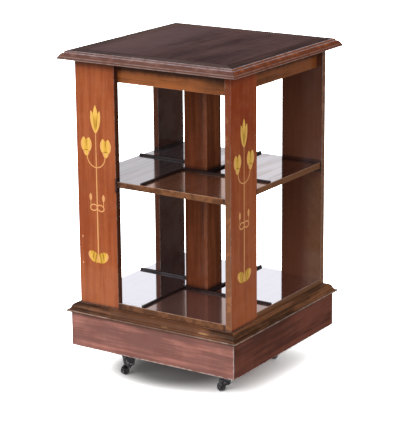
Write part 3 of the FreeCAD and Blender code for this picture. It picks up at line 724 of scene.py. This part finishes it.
EDGE_RUBBED = per_side((0.260, 0.145, 0.120), (0.400, 0.130, 0.055),
                       (0.220, 0.085, 0.045), (0.215, 0.095, 0.060))

for quarter, side in enumerate(SIDES):
    rubbed = patch(0.0015, rgb(*EDGE_RUBBED[side]), 0.72, 0.5, y_to=-0.2350)
    stained = patch(0.0040, rgb(*EDGE_STAIN[side]), 0.75, 3.0, y_to=-0.2390,
                    z_to=TOP_LEVEL - 0.0060)
    mottled = patch(0.03, CUP_STAINS, 0.42, 4.0, y_to=-0.2370)
    light = BORDER_LIGHT[side]
    paint_node("top_frame_" + side, wood(
        "mahogany_top_border_" + side, light, shaded(light, 0.45),
        grain="X", quarter=quarter, seed=7.0 + quarter, clouds=0.9, pores=0.4,
        gloss=BORDER_GLOSS[side], film_rough=0.30, matt=0.6,
        marks=[rubbed, stained, mottled] + TOP_MARKS + ([TOP_CHIP] if side == "front" else [])))
paint_node("top_panel", wood(
    "mahogany_top_field", (0.098, 0.052, 0.050), (0.046, 0.023, 0.024), grain="X", quarter=1,
    seed=12.0, streaks=0.7, clouds=1.3, pores=0.4, gloss=0.05, film_rough=0.30, matt=0.6,
    marks=[patch(0.10, FIELD_BLOOM, 0.5, 0.8, y_from=0.060), FIELD_JOINT]))
print("the top is painted, its field", round(2000 * FIELD_EDGE), "mm square")

# %% [markdown]
# ## Rails and column
# Under the top, a rail closes each side between the boards, in the shadow of the moulded edge.
# Inside stands a hollow square column of four boards, which carries the shelves. Both are the
# same mahogany. Shade is painted on them: a dark band along the top of each rail for the shadow
# of the moulded edge, and dark bands on the column where it meets the shelves, at its foot and
# under the rails.

# %% Rails
RAIL_LIGHT = per_side((0.375, 0.115, 0.032), (0.26, 0.080, 0.025),
                      (0.30, 0.10, 0.035), (0.26, 0.085, 0.032))
RAIL_SHADE = rgb(0.035, 0.014, 0.010)
RAIL_GLOSS = per_side(0.3, 0.12, 0.12, 0.12)
RAIL_LOW, RAIL_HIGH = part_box("apron_rail_front")
RAIL_TOP = float(RAIL_HIGH.z)
# Painted shadow of the moulded edge along the top of the rail.
RAIL_MARKS = [patch(0.016, RAIL_SHADE, 0.92, 0.7, z_from=RAIL_TOP - 0.022),
              arris_mark(RAIL_LOW, RAIL_HIGH, 0.0012, PALE_WEAR_AND_HIGHLIGHT, 0.4)]
for quarter, side in enumerate(SIDES):
    light = RAIL_LIGHT[side]
    paint_node("apron_rail_" + side, wood(
        "mahogany_rail_" + side, light, shaded(light, 0.36), grain="X", quarter=quarter,
        seed=20.0 + quarter, streaks=1.4, clouds=1.6, pores=0.4, gloss=RAIL_GLOSS[side],
        film_rough=0.15, marks=RAIL_MARKS))
print("rails are polished")

# %% [markdown]
# Squared timber never has a knife edge: the joiner takes the arris off with a block plane. The
# column boards and the divider strips are remade with such eased arrises. An eased block is a
# small ball carried round the inside of the block: each point is one of the eight inner corners
# plus the ball's own point in that direction, on a grid of turn and rise.

# %% Eased blocks
def eased_block(low, high, ease, steps=3):
    """Point(rise, turn) = the inner corner of that octant + ease x the ball's normal there."""
    low, high = np.array(low, float), np.array(high, float)
    turn = np.concatenate([np.linspace(q, q + 1, steps + 1) for q in range(4)]) * QUARTER
    rise = np.concatenate([np.linspace(-1, 0, steps + 1), np.linspace(0, 1, steps + 1)]) * QUARTER
    sign_x = np.repeat([1, -1, -1, 1], steps + 1)[None, :]
    sign_y = np.repeat([1, 1, -1, -1], steps + 1)[None, :]
    sign_z = np.repeat([-1, 1], steps + 1)[:, None]
    normal = np.stack([np.cos(rise)[:, None] * np.cos(turn)[None, :],
                       np.cos(rise)[:, None] * np.sin(turn)[None, :],
                       np.sin(rise)[:, None] * np.ones_like(turn)[None, :]], axis=-1)
    signs = np.stack(np.broadcast_arrays(sign_x, sign_y, sign_z), axis=-1)
    return (low + high) / 2.0 + signs * ((high - low) / 2.0 - ease) + ease * normal


def grid_faces(rows, columns, start=0):
    """Quads between neighbouring rows of a grid whose columns close on themselves."""
    row, column = np.meshgrid(np.arange(rows - 1), np.arange(columns), indexing="ij")
    after = (column + 1) % columns
    quads = np.stack([row * columns + column, row * columns + after,
                      (row + 1) * columns + after, (row + 1) * columns + column], axis=-1)
    return quads.reshape(-1, 4) + start


def weld(points, faces):
    """Joins points that coincide, and drops the corners and faces that this leaves empty."""
    kept, index = np.unique(np.round(points, 7), axis=0, return_inverse=True)
    index = index.ravel()
    first = np.zeros(len(kept), int)
    first[index[::-1]] = np.arange(len(points))[::-1]
    clean = []
    for face in faces:
        corners = list(dict.fromkeys(index[face].tolist()))
        if len(corners) > 2:
            clean.append(corners)
    return kept, clean, first


def block_mesh(boxes, ease):
    """One mesh of several eased blocks."""
    points, faces = [], []
    for low, high in boxes:
        grid = eased_block(low, high, ease)
        rows, columns = grid.shape[:2]
        start = sum(len(p) for p in points)
        points.append(grid.reshape(-1, 3))
        faces += grid_faces(rows, columns, start).tolist()
        faces += [list(range(start + columns - 1, start - 1, -1)),
                  list(range(start + (rows - 1) * columns, start + rows * columns))]
    return weld(np.concatenate(points), faces)[:2]


print("an eased block has", len(block_mesh([((0, 0, 0), (1, 1, 1))], 0.1)[0]), "points")

# %% [markdown]
# A new piece stands for one of the frame's. It rides on the same body, so it moves with it, and
# the piece that it replaces is hidden. Its rounded arrises are smooth, and its flat faces flat.

# %% A new piece
def add_piece(name, points, faces, body, replaces, finish):
    """Makes the object, rides it on its body, and hides the piece it replaces. Flat faces stay
    flat.
    """
    mesh = bpy.data.meshes.new(name)
    mesh.from_pydata(points.tolist(), [], faces)
    normals = np.empty(len(mesh.polygons) * 3)
    mesh.polygons.foreach_get("normal", normals)
    smooth = np.abs(normals.reshape(-1, 3)).max(axis=1) < 0.9999
    mesh.polygons.foreach_set("use_smooth", smooth)
    mesh.materials.append(finish)
    piece = bpy.data.objects.new(name, mesh)
    bpy.context.scene.collection.objects.link(piece)
    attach(piece, body)
    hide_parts(replaces)
    return piece


print("new pieces can be added")

# %% [markdown]
# The new blocks take their sizes from the frame's own solids. A node such as the divider strips
# holds several solids in one mesh of loose triangles, so they are told apart first: triangles
# that share an edge belong to one skin.

# %% Reading the frame's solids
def merged(node):
    """A copy of a frame piece's points and triangles, with the loose triangles' corners joined."""
    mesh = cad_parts[node].data
    points = np.empty(len(mesh.vertices) * 3)
    mesh.vertices.foreach_get("co", points)
    mesh.calc_loop_triangles()
    corners = np.empty(len(mesh.loop_triangles) * 3, int)
    mesh.loop_triangles.foreach_get("vertices", corners)
    kept, index = np.unique(np.round(points.reshape(-1, 3), 6), axis=0, return_inverse=True)
    return kept, index.ravel()[corners.reshape(-1, 3)]


def islands(triangles):
    """Numbers triangles, alike where they are one solid's skin.

    Two triangles belong together if they alone share an edge: where two solids touch along an
    edge, four triangles meet there. Each triangle takes the lowest number of its neighbours
    until none changes."""
    pairs = ([0, 1], [1, 2], [2, 0])
    edges = np.sort(np.concatenate([triangles[:, pair] for pair in pairs]), axis=1)
    owner = np.tile(np.arange(len(triangles)), 3)
    order = np.lexsort((edges[:, 1], edges[:, 0]))
    _, first, meeting = np.unique(edges[order], axis=0, return_index=True, return_counts=True)
    left, right = owner[order][first[meeting == 2]], owner[order][first[meeting == 2] + 1]
    label = np.arange(len(triangles))
    while True:
        lowest = label.copy()
        shared = np.minimum(label[left], label[right])
        np.minimum.at(lowest, left, shared)
        np.minimum.at(lowest, right, shared)
        if (lowest == label).all():
            return label
        label = lowest


def solid_boxes(node):
    """The box of each separate solid in a piece from the frame."""
    points, triangles = merged(node)
    label = islands(triangles)
    skins = [points[triangles[label == k]].reshape(-1, 3) for k in np.unique(label)]
    return [(skin.min(axis=0), skin.max(axis=0)) for skin in skins]


print("the middle shelf has", len(solid_boxes("middle_shelf_strips")), "divider strips")

# %% Column and divider strips
COLUMN_LIGHT = per_side((0.195, 0.055, 0.023), (0.290, 0.088, 0.036),
                        (0.200, 0.065, 0.028), (0.200, 0.065, 0.028))
COLUMN_LOW, COLUMN_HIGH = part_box("column_board_front")
COLUMN_HALF = -float(COLUMN_LOW.y)
COLUMN_MARKS = [arris_mark(COLUMN_LOW, COLUMN_HIGH, 0.0010, PALE_WEAR_AND_HIGHLIGHT, 0.35),
                # Painted shade on the column: where it meets the shelves, at its foot and under the
                # rails.
                patch(0.016, PAINTED_SHADE_DARK, 0.8, z_from=SHELF_LOW - 0.012, z_to=SHELF_TOP + 0.010),
                patch(0.016, PAINTED_SHADE_DARK, 0.8, z_to=FLOOR_TOP + 0.010),
                patch(0.04, PAINTED_SHADE_DARK, 0.5, z_from=RAIL_TOP - 0.05)]
for quarter, side in enumerate(SIDES):
    node = "column_board_" + side
    light = COLUMN_LIGHT[side]
    points, faces = block_mesh(solid_boxes(node), 0.0008)
    finish = wood("mahogany_column_" + side, light, shaded(light, 0.52), quarter=quarter,
                  seed=30.0 + quarter, streaks=1.2, clouds=0.8, pores=0.4, gloss=0.3,
                  film_rough=0.16, marks=COLUMN_MARKS)
    add_piece("column_board_eased_" + side, points, faces, "case", node, finish)

strip_finish = wood("mahogany_strip", (0.034, 0.018, 0.017), (0.014, 0.008, 0.009), seed=40.0,
                    streaks=0.6, clouds=0.8, pores=0.3, gloss=0.4, film_rough=0.12)
for level in ("middle_shelf", "bottom_shelf"):
    points, faces = block_mesh(solid_boxes(level + "_strips"), 0.0007)
    add_piece(level + "_dividers", points, faces, "case", level + "_strips",
              strip_finish)
print("column and divider strips have eased arrises")

# %% [markdown]
# ## The shelves
# Books slid over the shelves for a century, and the duster followed them: they are the glossiest
# wood on the case, and at this low view they mirror the white room. The film there is clear and
# hard, with a high index. The compartment at the front has been used the most, so its mirror is
# broken to brown. The narrow edges at the front and the right are plain wood, a golden brown from
# handling, with wear and a painted highlight along the arrises, grime on the front one, and
# painted shade at its ends by the boards.

# %% Shelves
EDGE_GOLD = rgb(0.185, 0.078, 0.034)
LEFT_USE = rgb(0.10, 0.09, 0.13)
EDGE_GRIME = rgb(0.035, 0.014, 0.010)
UNDER_SKIN = 0.0006


def shelf_wood(level, seed, edge_half, film, left_used, front_used, front_paint, mirror):
    """The finish of one shelf. The used values say how far each compartment's mirror is gone.

    A shelf's grain runs from front to back, so it counts as turned by one quarter. In its marks
    x runs to the back of the case and y to its left."""
    low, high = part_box(level + "_shelf")
    top = float(high.z)
    front = 0.001 - edge_half
    strip = COLUMN_HALF + 0.003
    marks = [patch(0.002, LEFT_USE, left_used, y_from=strip),
             patch(0.002, rgb(*front_paint), front_used, x_to=-COLUMN_HALF, y_to=strip),
             patch(0.0005, EDGE_GOLD, 0.85, 0.4, y_to=front, z_to=top - UNDER_SKIN),
             patch(0.0005, EDGE_GOLD, 0.85, 0.4, x_to=front, z_to=top - UNDER_SKIN),
             # Painted shade at both ends of the front edge, beside the boards.
             patch(0.007, PAINTED_SHADE_DARK, 0.85, x_to=front, y_from=-0.008 - BOARD_HIGH.x),
             patch(0.007, PAINTED_SHADE_DARK, 0.85, x_to=front, y_to=-0.196),
             patch(0.03, EDGE_GRIME, 0.55, 5.0, x_to=front),
             ring_mark(edge_half - 0.0004, top - 0.0004, 0.0016, PALE_WEAR_AND_HIGHLIGHT, 0.6),
             ring_mark(edge_half, float(low.z), 0.0014, PALE_WEAR_AND_HIGHLIGHT, 0.3)]
    return wood("mahogany_shelf_" + level, (0.160, 0.058, 0.032), (0.075, 0.026, 0.016),
                grain="X", quarter=1, seed=seed, streaks=1.2, pores=0.3, gloss=film,
                film_rough=0.045, film_ior=2.4, dulled=0.12, relief=0.02, marks=marks,
                only_up=0.12, mirror=mirror)


paint_node("middle_shelf", shelf_wood(
    "middle", 50.0, 0.216, 0.5, 0.38, 0.85, (0.38, 0.135, 0.048), (0.48, 0.72, 0.07)))
paint_node("bottom_shelf", shelf_wood(
    "bottom", 51.0, 0.219, 1.0, 0.0, 0.85, (0.26, 0.080, 0.030), (0.84, 0.05, 0.05)))
print("shelves are polished bright")

# %% [markdown]
# ## Base moulding and plinth
# The moulding spreads from the case to the plinth in an ovolo and a round nosing. It is a golden
# brown where shoes have rubbed it, with painted shade in the hollow above the nosing and wear and
# a painted highlight along the ovolo and the nosing. The plinth is a plain mitred box with fine
# level grain, a brown that on the front is lightened to pink by a painted sheen. Its edges are
# knocked pale and carry a painted highlight, a painted shadow lies along its top under the
# moulding's nosing, and dirt sits at one end of each length.

# %% Base
PLINTH_LOW, PLINTH_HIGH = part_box("plinth_front")
PLINTH_EDGE = -float(PLINTH_LOW.y)
PLINTH_CORNERS = [Vector((sign * PLINTH_EDGE, sign * PLINTH_EDGE, level))
                  for sign, level in ((-1, PLINTH_LOW.z), (1, PLINTH_HIGH.z))]
MOULD_LEVEL = float(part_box("base_moulding_front")[1].z)
NOSE_EDGE = -float(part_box("base_moulding_front")[0].y)
OVOLO_EDGE = 0.224
HOLLOW_EDGE = 0.2395
# Pale plinth arrises: wear and a painted highlight together.
KNOCKED_PALE_AND_HIGHLIGHT = rgb(0.58, 0.46, 0.43)
SHOE_GOLD = rgb(0.42, 0.23, 0.10)
MOULD_STAIN = rgb(0.050, 0.021, 0.014)
# Painted shadow of the nosing along the top of the plinth.
NOSE_SHADOW = rgb(0.060, 0.022, 0.018)
CORNER_DIRT = rgb(0.070, 0.030, 0.026)
MOULD_LIGHT = per_side((0.190, 0.076, 0.036), (0.255, 0.104, 0.046),
                       (0.16, 0.065, 0.032), (0.15, 0.060, 0.03))
MOULD_GLOSS = per_side(0.20, 0.08, 0.15, 0.15)
# The plinth's colour per side; on the front it also carries a painted pinkish sheen.
PLINTH_TONE_AND_SHEEN = per_side((0.415, 0.165, 0.130), (0.192, 0.057, 0.034),
                        (0.22, 0.085, 0.06), (0.20, 0.08, 0.055))
PLINTH_GLOSS = per_side(0.6, 0.12, 0.3, 0.3)
# Wear and painted highlight on the ovolo and the nosing, painted shade in the hollow, and the
# mitre.
MOULD_MARKS = [
    ring_mark(OVOLO_EDGE, MOULD_LEVEL, 0.0016, GREY_WEAR_AND_HIGHLIGHT, 0.35),
    ring_mark(NOSE_EDGE - 0.0008, MOULD_LEVEL - 0.0190, 0.0020, GREY_WEAR_AND_HIGHLIGHT, 0.8),
    # Painted shade along the hollow above the nosing.
    ring_mark(HOLLOW_EDGE, MOULD_LEVEL - 0.0138, 0.0012, DARK_LINE, 0.55),
    MITRE_LINE,
]
FRONT_RUBS = [
    chip_mark((0.0415, -0.236, 0.1805), (0.016, 0.006, 0.0030), SHOE_GOLD, 0.75),
    chip_mark((0.1500, -0.236, 0.1840), (0.020, 0.006, 0.0030), SHOE_GOLD, 0.75),
    chip_mark((0.0000, -0.224, 0.1935), (0.010, 0.004, 0.0022), SHOE_GOLD, 0.75),
    patch(0.06, MOULD_STAIN, 0.5, 1.5, x_from=-0.11, x_to=0.13),
]
PLINTH_MARKS = [
    arris_mark(*PLINTH_CORNERS, 0.0034, KNOCKED_PALE_AND_HIGHLIGHT, 0.75),
    ("mitre_joint", {"Width": 0.0006}, DARK_LINE, 0.5),
    # Painted shadow under the moulding's nosing.
    patch(0.008, NOSE_SHADOW, 0.65, 0.5, z_from=PLINTH_HIGH.z - 0.004),
    patch(0.008, CORNER_DIRT, 0.55, 0.6, x_to=0.004 - PLINTH_EDGE),
]
for quarter, side in enumerate(SIDES):
    light = MOULD_LIGHT[side]
    paint_node("base_moulding_" + side, wood(
        "mahogany_moulding_" + side, light, shaded(light, 0.24), grain="X", quarter=quarter,
        seed=60.0 + quarter, streaks=1.8, clouds=2.2, pores=0.4, gloss=MOULD_GLOSS[side],
        film_rough=0.22, marks=MOULD_MARKS + (FRONT_RUBS if side == "front" else [])))
    light = PLINTH_TONE_AND_SHEEN[side]
    paint_node("plinth_" + side, wood(
        "mahogany_plinth_" + side, light, shaded(light, 0.48), grain="X", quarter=quarter,
        seed=70.0 + quarter, streaks=1.5, clouds=1.6, pores=0.3, gloss=PLINTH_GLOSS[side],
        film_rough=0.25, marks=PLINTH_MARKS))
print("moulding and plinth are polished")

# %% [markdown]
# ## The inlay
# The flowers are thin boxwood let into the boards and polished level with them. The maker dipped
# the petals' roots in hot sand, which shades them from peach to gold and olive, and scorched dark
# lines part one petal from the next. Each motif is remade as a surface with its own shading. Its
# outline is read from the frame's piece: the corners are put in order by their direction from a
# point inside that sees all of them.

# %% Reading an outline
VENEER_T = 0.001
PETAL_RINGS = 26
RIM_POINTS = 160
THIN_LINE = 0.0062
TULIP_HEIGHT = 0.055
DROP_WIDTH = 0.014
LINE_TONE = 0.97
TRIAL_SHARES = np.linspace(0.1, 0.9, 17)
BOARD_FACE = float(BOARD_LOW.y)
STEM_X = float(BOARD_LOW.x + BOARD_HIGH.x) / 2.0


def turned_by(points, quarter):
    """Points turned about Z by quarter turns."""
    cos, sin = math.cos(QUARTER * quarter), math.sin(QUARTER * quarter)
    return points @ np.array([[cos, sin, 0.0], [-sin, cos, 0.0], [0.0, 0.0, 1.0]])


def polygon_area(across, upward):
    """Half the sum of the cross products of neighbouring corners."""
    return 0.5 * abs(np.sum(across * np.roll(upward, -1) - np.roll(across, -1) * upward))


def triangle_area(points, triangles):
    """Half the length of each triangle's cross product, summed."""
    a, b, c = (points[triangles[:, k]] for k in range(3))
    return 0.5 * np.linalg.norm(np.cross(b - a, c - a), axis=1).sum()


def seen_outline(corners, area):
    """Orders the corners round the middle point that sees all of them with the most room.

    A trial middle works if the corners, sorted by their direction from it, enclose the known
    area."""
    low, high = corners.min(axis=0), corners.max(axis=0)
    best_room, best = 0.0, None
    trials = np.stack(np.meshgrid(TRIAL_SHARES, TRIAL_SHARES), axis=-1).reshape(-1, 2)
    for share_x, share_z in trials:
        middle = low + np.array([share_x, 0.0, share_z]) * (high - low)
        spokes = corners - middle
        rim = corners[np.argsort(np.arctan2(spokes[:, 2], spokes[:, 0]))]
        if abs(polygon_area(rim[:, 0], rim[:, 2]) / area - 1.0) > 0.002:
            continue
        run = np.roll(rim, -1, axis=0) - rim
        arm = middle - rim
        cross = run[:, 0] * arm[:, 2] - run[:, 2] * arm[:, 0]
        room = (cross / np.linalg.norm(run, axis=1)).min()
        if room > best_room:
            best_room, best = room, (rim, middle)
    return best


def evenly_spaced(rim, count):
    """The same closed outline with its old corners and new ones shared out by length."""
    closed = np.vstack([rim, rim[:1]])
    lengths = np.linalg.norm(np.diff(closed, axis=0), axis=1)
    travelled = np.concatenate([[0.0], np.cumsum(lengths)])
    stops = np.union1d(travelled[:-1], np.linspace(0.0, travelled[-1], count, endpoint=False))
    stops = stops[np.concatenate([[True], np.diff(stops) > 1e-7])]
    return np.stack([np.interp(stops, travelled, closed[:, k]) for k in range(3)], axis=1)


print("outlines are read on the plane y =", round(BOARD_FACE, 4))

# %% [markdown]
# The outline is then drawn in towards its middle in rings, which gives the surface enough points
# to carry a shading, and a thin wall behind closes it.

# %% Petal surface
def petal_surface(rim, middle):
    """Point(ring, s) = middle + share(ring) x (rim(s) - middle), then down the wall and back in."""
    share = np.concatenate([np.linspace(0.0, 1.0, PETAL_RINGS), [1.0, 0.0]])
    depth = np.concatenate([np.zeros(PETAL_RINGS), [VENEER_T, VENEER_T]])
    grid = middle + share[:, None, None] * (rim - middle)[None, :, :]
    grid[:, :, 1] += depth[:, None]
    return grid


print("a petal has", PETAL_RINGS, "rings")

# %% [markdown]
# Every point carries a tone for the finish: 0 is a scorched line, 0.25 olive, 0.5 gold, 0.75
# bright and 1 peach. Across and upward say where the point is in its motif, from -1 to 1 across
# it and from 0 to 1 up it, so one formula serves a motif of any size.

# %% Tones
def line_along(distance, width):
    """1 on a line and 0 at the given distance from it."""
    return np.exp(-(distance / width) ** 2)


def smooth(value, start, end):
    """Runs smoothly from 0 to 1 while the value runs from start to end."""
    share = np.clip((value - start) / (end - start), 0.0, 1.0)
    return share * share * (3.0 - 2.0 * share)


def flower_tone(across, upward):
    """Two petals that turn gold towards each other, over a pale calyx."""
    side = np.abs(across)
    petals = 0.50 + 0.38 * smooth(side, 0.12, 0.80) + 0.08 * smooth(upward, 0.75, 1.0)
    calyx_rim = 0.30 - 0.05 * (side / 0.6) ** 2
    calyx = 0.98 - 0.40 * line_along(side, 0.18)
    tone = np.where(upward > calyx_rim, petals, calyx)
    tone -= 0.75 * line_along(side, 0.045) * smooth(upward, 0.42, 0.75)
    return tone - 0.55 * line_along(upward - calyx_rim, 0.030) * smooth(side, 0.75, 0.35)


def tulip_tone(across, upward):
    """A bright middle petal between two pale ones, gold and olive towards the foot."""
    side = np.abs(across)
    seam = 0.10 + 0.32 * np.clip(upward / 0.66, 0.0, 1.0)
    middle = 0.30 + 0.45 * smooth(upward, 0.30, 0.75)
    outer = 0.54 + 0.30 * smooth(side - seam, 0.0, 0.40)
    tone = np.where(side < seam, middle, outer) + 0.35 * smooth(upward, 0.16, 0.0)
    seam_span = smooth(upward, 0.10, 0.30) * smooth(upward, 0.90, 0.60)
    return tone - 0.40 * line_along(side - seam, 0.045) * seam_span


def leaf_tone(across, upward):
    """Across runs from the stem outwards: gold with dark veins, and a pale rim."""
    veins = 0.5 + 0.5 * np.cos(2.0 * math.pi * (3.2 * across + 0.8 * upward))
    rim = smooth(across - 0.25 * upward, 0.38, 0.72)
    return (0.46 - 0.34 * veins ** 2) * (1.0 - rim) + 0.95 * rim


def motif_tone(points, low, high, rim_low, rim_high):
    """Picks the shading by what the motif is, told by its height, its width and its place."""
    width, height = (high - low)[[0, 2]]
    across = (points[:, 0] - (low[0] + high[0]) / 2.0) / (width / 2.0)
    upward = (points[:, 2] - low[2]) / height
    from_foot = (low[2] - rim_low) / (rim_high - rim_low)
    if height > TULIP_HEIGHT:
        return tulip_tone(across, upward), "tulip"
    if from_foot > 0.5:
        return flower_tone(across, upward), "flower"
    if width < DROP_WIDTH:
        return 0.92 + 0.08 * upward - 0.35 * line_along(across - 0.5, 0.25), "drop"
    outward = across if low[0] > STEM_X - 0.003 else -across
    return leaf_tone((outward + 1.0) / 2.0, upward), "leaf"


print("tulip, flower, leaf and drop have their tones")

# %% [markdown]
# Each side's inlay is one mesh. It is worked out as if it were on the front and turned back at
# the end. Thin stems and the bow keep their plain outline and one pale tone.

# %% Inlay mesh
def inlay_mesh(node, quarter):
    """All the inlay of one side: petals as shaded surfaces, thin lines as they are."""
    points, triangles = merged(node)
    points = turned_by(points, -quarter)
    foot, head = points[:, 2].min(), points[:, 2].max()
    label = islands(triangles)
    all_points, all_faces, all_tones, found = [], [], [], []
    for number in np.unique(label):
        own_triangles = triangles[label == number]
        own = np.unique(own_triangles)
        on_face = own[np.abs(points[own, 1] - BOARD_FACE) < 1e-5]
        corners = points[on_face]
        front = own_triangles[np.isin(own_triangles, on_face).all(axis=1)]
        size = np.ptp(corners, axis=0)
        start = sum(len(p) for p in all_points)
        outline = None
        if min(size[0], size[2]) > THIN_LINE:
            outline = seen_outline(corners, triangle_area(points, front))
        if outline is not None:
            rim, middle = outline
            grid = petal_surface(evenly_spaced(rim, RIM_POINTS), middle)
            flat = grid.reshape(-1, 3)
            tone, kind = motif_tone(flat, rim.min(axis=0), rim.max(axis=0), foot, head)
            all_tones.append(np.clip(tone, 0.0, 1.0))
            all_faces += grid_faces(grid.shape[0], grid.shape[1], start).tolist()
            all_points.append(flat)
        else:
            kind = "line"
            renumber = np.zeros(len(points), int)
            renumber[own] = np.arange(len(own)) + start
            all_faces += renumber[own_triangles].tolist()
            all_points.append(points[own])
            all_tones.append(np.full(len(own), LINE_TONE))
        found.append(kind)
    print(node, {kind: found.count(kind) for kind in sorted(set(found))})
    return np.concatenate(all_points), all_faces, np.concatenate(all_tones)


print("motifs can be read from the frame and shaded")

# %% [markdown]
# Boxwood is close and pale, with hardly any figure. The tone that each point carries picks the
# colour between sand-scorched olive and clean peach, and a fine fibre along the stem breaks it.

# %% Boxwood finish
SCORCHED = rgb(0.16, 0.060, 0.012)
PEACH = rgb(0.72, 0.33, 0.135)
TONE_COLOURS = [(0.25, (0.50, 0.27, 0.035)), (0.5, (0.70, 0.39, 0.055)),
                (0.75, (0.84, 0.50, 0.105))]


def make_boxwood():
    """The tone attribute, broken by fibre and blotches, picks a colour from a ramp."""
    finish, tree, shader, place = new_finish("shaded_boxwood")
    tone = add_node(tree, "ShaderNodeAttribute", attribute_name="tone").outputs["Fac"]
    fibre = noise(tree, stretched(tree, place, 1.0, 1.0, 0.08), 420.0, 3.0, 0.6)
    blotch = noise(tree, place, 90.0, 3.0, 0.6)
    tone = calc(tree, "MULTIPLY_ADD", calc(tree, "SUBTRACT", fibre, 0.5), 0.30, tone)
    tone = calc(tree, "MULTIPLY_ADD", calc(tree, "SUBTRACT", blotch, 0.5), 0.20, tone)
    ramp = add_node(tree, "ShaderNodeValToRGB", {0: tone})
    stops = ramp.color_ramp.elements
    stops[0].position, stops[0].color = 0.0, SCORCHED
    stops[1].position, stops[1].color = 1.0, PEACH
    for position, colour in TONE_COLOURS:
        stops.new(position).color = rgb(*colour)
    feed(tree, shader, {"Base Color": ramp.outputs[0], "Normal": bumped(tree, 0.12, 0.0003, fibre),
                        "Roughness": 0.5, "Specular IOR Level": 0.0, "Coat Weight": 0.15,
                        "Coat Roughness": 0.14})
    return finish


boxwood = make_boxwood()
for quarter, side in enumerate(SIDES):
    points, faces, tones = inlay_mesh("inlay_" + side, quarter)
    welded, clean, first = weld(turned_by(points, quarter), [np.array(face) for face in faces])
    veneer = add_piece("inlay_veneer_" + side, welded, clean, "case",
                       "inlay_" + side, boxwood)
    attribute = veneer.data.attributes.new("tone", "FLOAT", "POINT")
    attribute.data.foreach_set("value", tones[first].astype(np.float32))

# %% [markdown]
# ## Hidden timber
# Under and inside the case are a stained cross stand, the post and pin that the case turns on,
# blocks, bearers and screws. The timber is rough from the saw and matt, so it takes the wood
# recipe with a strong relief and hardly any film.

# %% Hidden timber
HIDDEN_PIECES = ("corner_blocks", "bearing_board", "pivot_bearer", "cross_arm_lower",
                 "cross_arm_upper", "centre_post", "turned_feet")
hidden_timber = wood("stained_hardwood", (0.115, 0.062, 0.038), (0.050, 0.026, 0.017), grain="X",
                     seed=80.0, streaks=1.2, pores=0.6, gloss=0.05, film_rough=0.4, matt=0.8,
                     relief=0.5)
for node in HIDDEN_PIECES:
    paint_node(node, hidden_timber)
print(len(HIDDEN_PIECES), "hidden pieces are stained")

# %% [markdown]
# ## Metals
# Castors and fittings are iron and steel. The castors are blackened, and rubbed to small bright
# glints where they touch. One recipe serves all the metals: a dark skin, with a mask of rubbed
# patches that makes it paler, smoother and more metallic, and a little rust in the skin.

# %% Group: rubbed_metal
RUST = rgb(0.06, 0.028, 0.016)


def make_rubbed_group():
    """Skin where the metal is dull, Bare where it is rubbed. Amount sets how much is bare."""
    group, given, out = new_group(
        "rubbed_metal",
        [POSITION, ("Skin", "colour", rgb(0.02, 0.02, 0.02)),
         ("Bare", "colour", rgb(0.3, 0.3, 0.3)), ("Amount", "value", 0.3)],
        [("Color", "colour"), ("Bare", "value"), ("Height", "value")])
    patches = noise(group, given["Vector"], 160.0, 5.0, 0.65)
    edge = calc(group, "SUBTRACT", 0.78, calc(group, "MULTIPLY", given["Amount"], 0.5))
    bare = fade(group, patches, edge, calc(group, "ADD", edge, 0.12))
    rust = fade(group, noise(group, given["Vector"], 90.0, 4.0, 0.7), 0.56, 0.72)
    skin = mix_colour(group, calc(group, "MULTIPLY", rust, 0.5), given["Skin"], RUST)
    group.links.new(mix_colour(group, bare, skin, given["Bare"]), out["Color"])
    group.links.new(bare, out["Bare"])
    group.links.new(noise(group, given["Vector"], 700.0, 3.0, 0.6), out["Height"])


make_rubbed_group()
print("rubbed_metal is ready")


# %% Metals
def metal(name, skin, bare, amount, metallic, rough_skin, rough_bare):
    """A metal with a darker skin and bare patches. metallic is the skin's own share."""
    finish, tree, shader, place = new_finish(name)
    rubbed = use_group(tree, "rubbed_metal", {
        "Vector": place, "Skin": rgb(*skin), "Bare": rgb(*bare), "Amount": amount})
    feed(tree, shader, {
        "Base Color": rubbed["Color"],
        "Metallic": fade(tree, rubbed["Bare"], 0.0, 1.0, metallic, 1.0),
        "Roughness": fade(tree, rubbed["Bare"], 0.0, 1.0, rough_skin, rough_bare),
        "Normal": bumped(tree, 0.2, 0.0002, rubbed["Height"])})
    return finish


black_iron = metal("dark_castor_iron", (0.014, 0.012, 0.015), (0.24, 0.22, 0.24),
                   0.50, 0.5, 0.30, 0.25)
tread_iron = metal("castor_wheel_iron", (0.014, 0.013, 0.014), (0.24, 0.23, 0.23),
                   0.50, 0.5, 0.38, 0.3)
turned_steel = metal("pivot_steel", (0.30, 0.30, 0.31), (0.50, 0.50, 0.50), 0.6, 1.0, 0.35, 0.22)
cast_iron = metal("pivot_iron", (0.10, 0.095, 0.09), (0.28, 0.27, 0.26), 0.4, 0.6, 0.55, 0.35)
screw_steel = metal("screw_steel", (0.22, 0.21, 0.20), (0.42, 0.41, 0.40), 0.5, 1.0, 0.42, 0.3)
METALS = {"caster_cups": black_iron, "pivot_pin": turned_steel, "pivot_cup": cast_iron,
          "guide_ring": cast_iron}
for owner in ("top", "pivot_cup", "guide_ring", "foot"):
    METALS[owner + "_screws"] = screw_steel
for number in range(1, 5):
    METALS["caster_fork_%d" % number] = black_iron
    METALS["caster_axle_%d" % number] = black_iron
    METALS["caster_wheel_%d" % number] = tread_iron
for node, finish in METALS.items():
    paint_node(node, finish)
print(len(METALS), "metal pieces are painted")
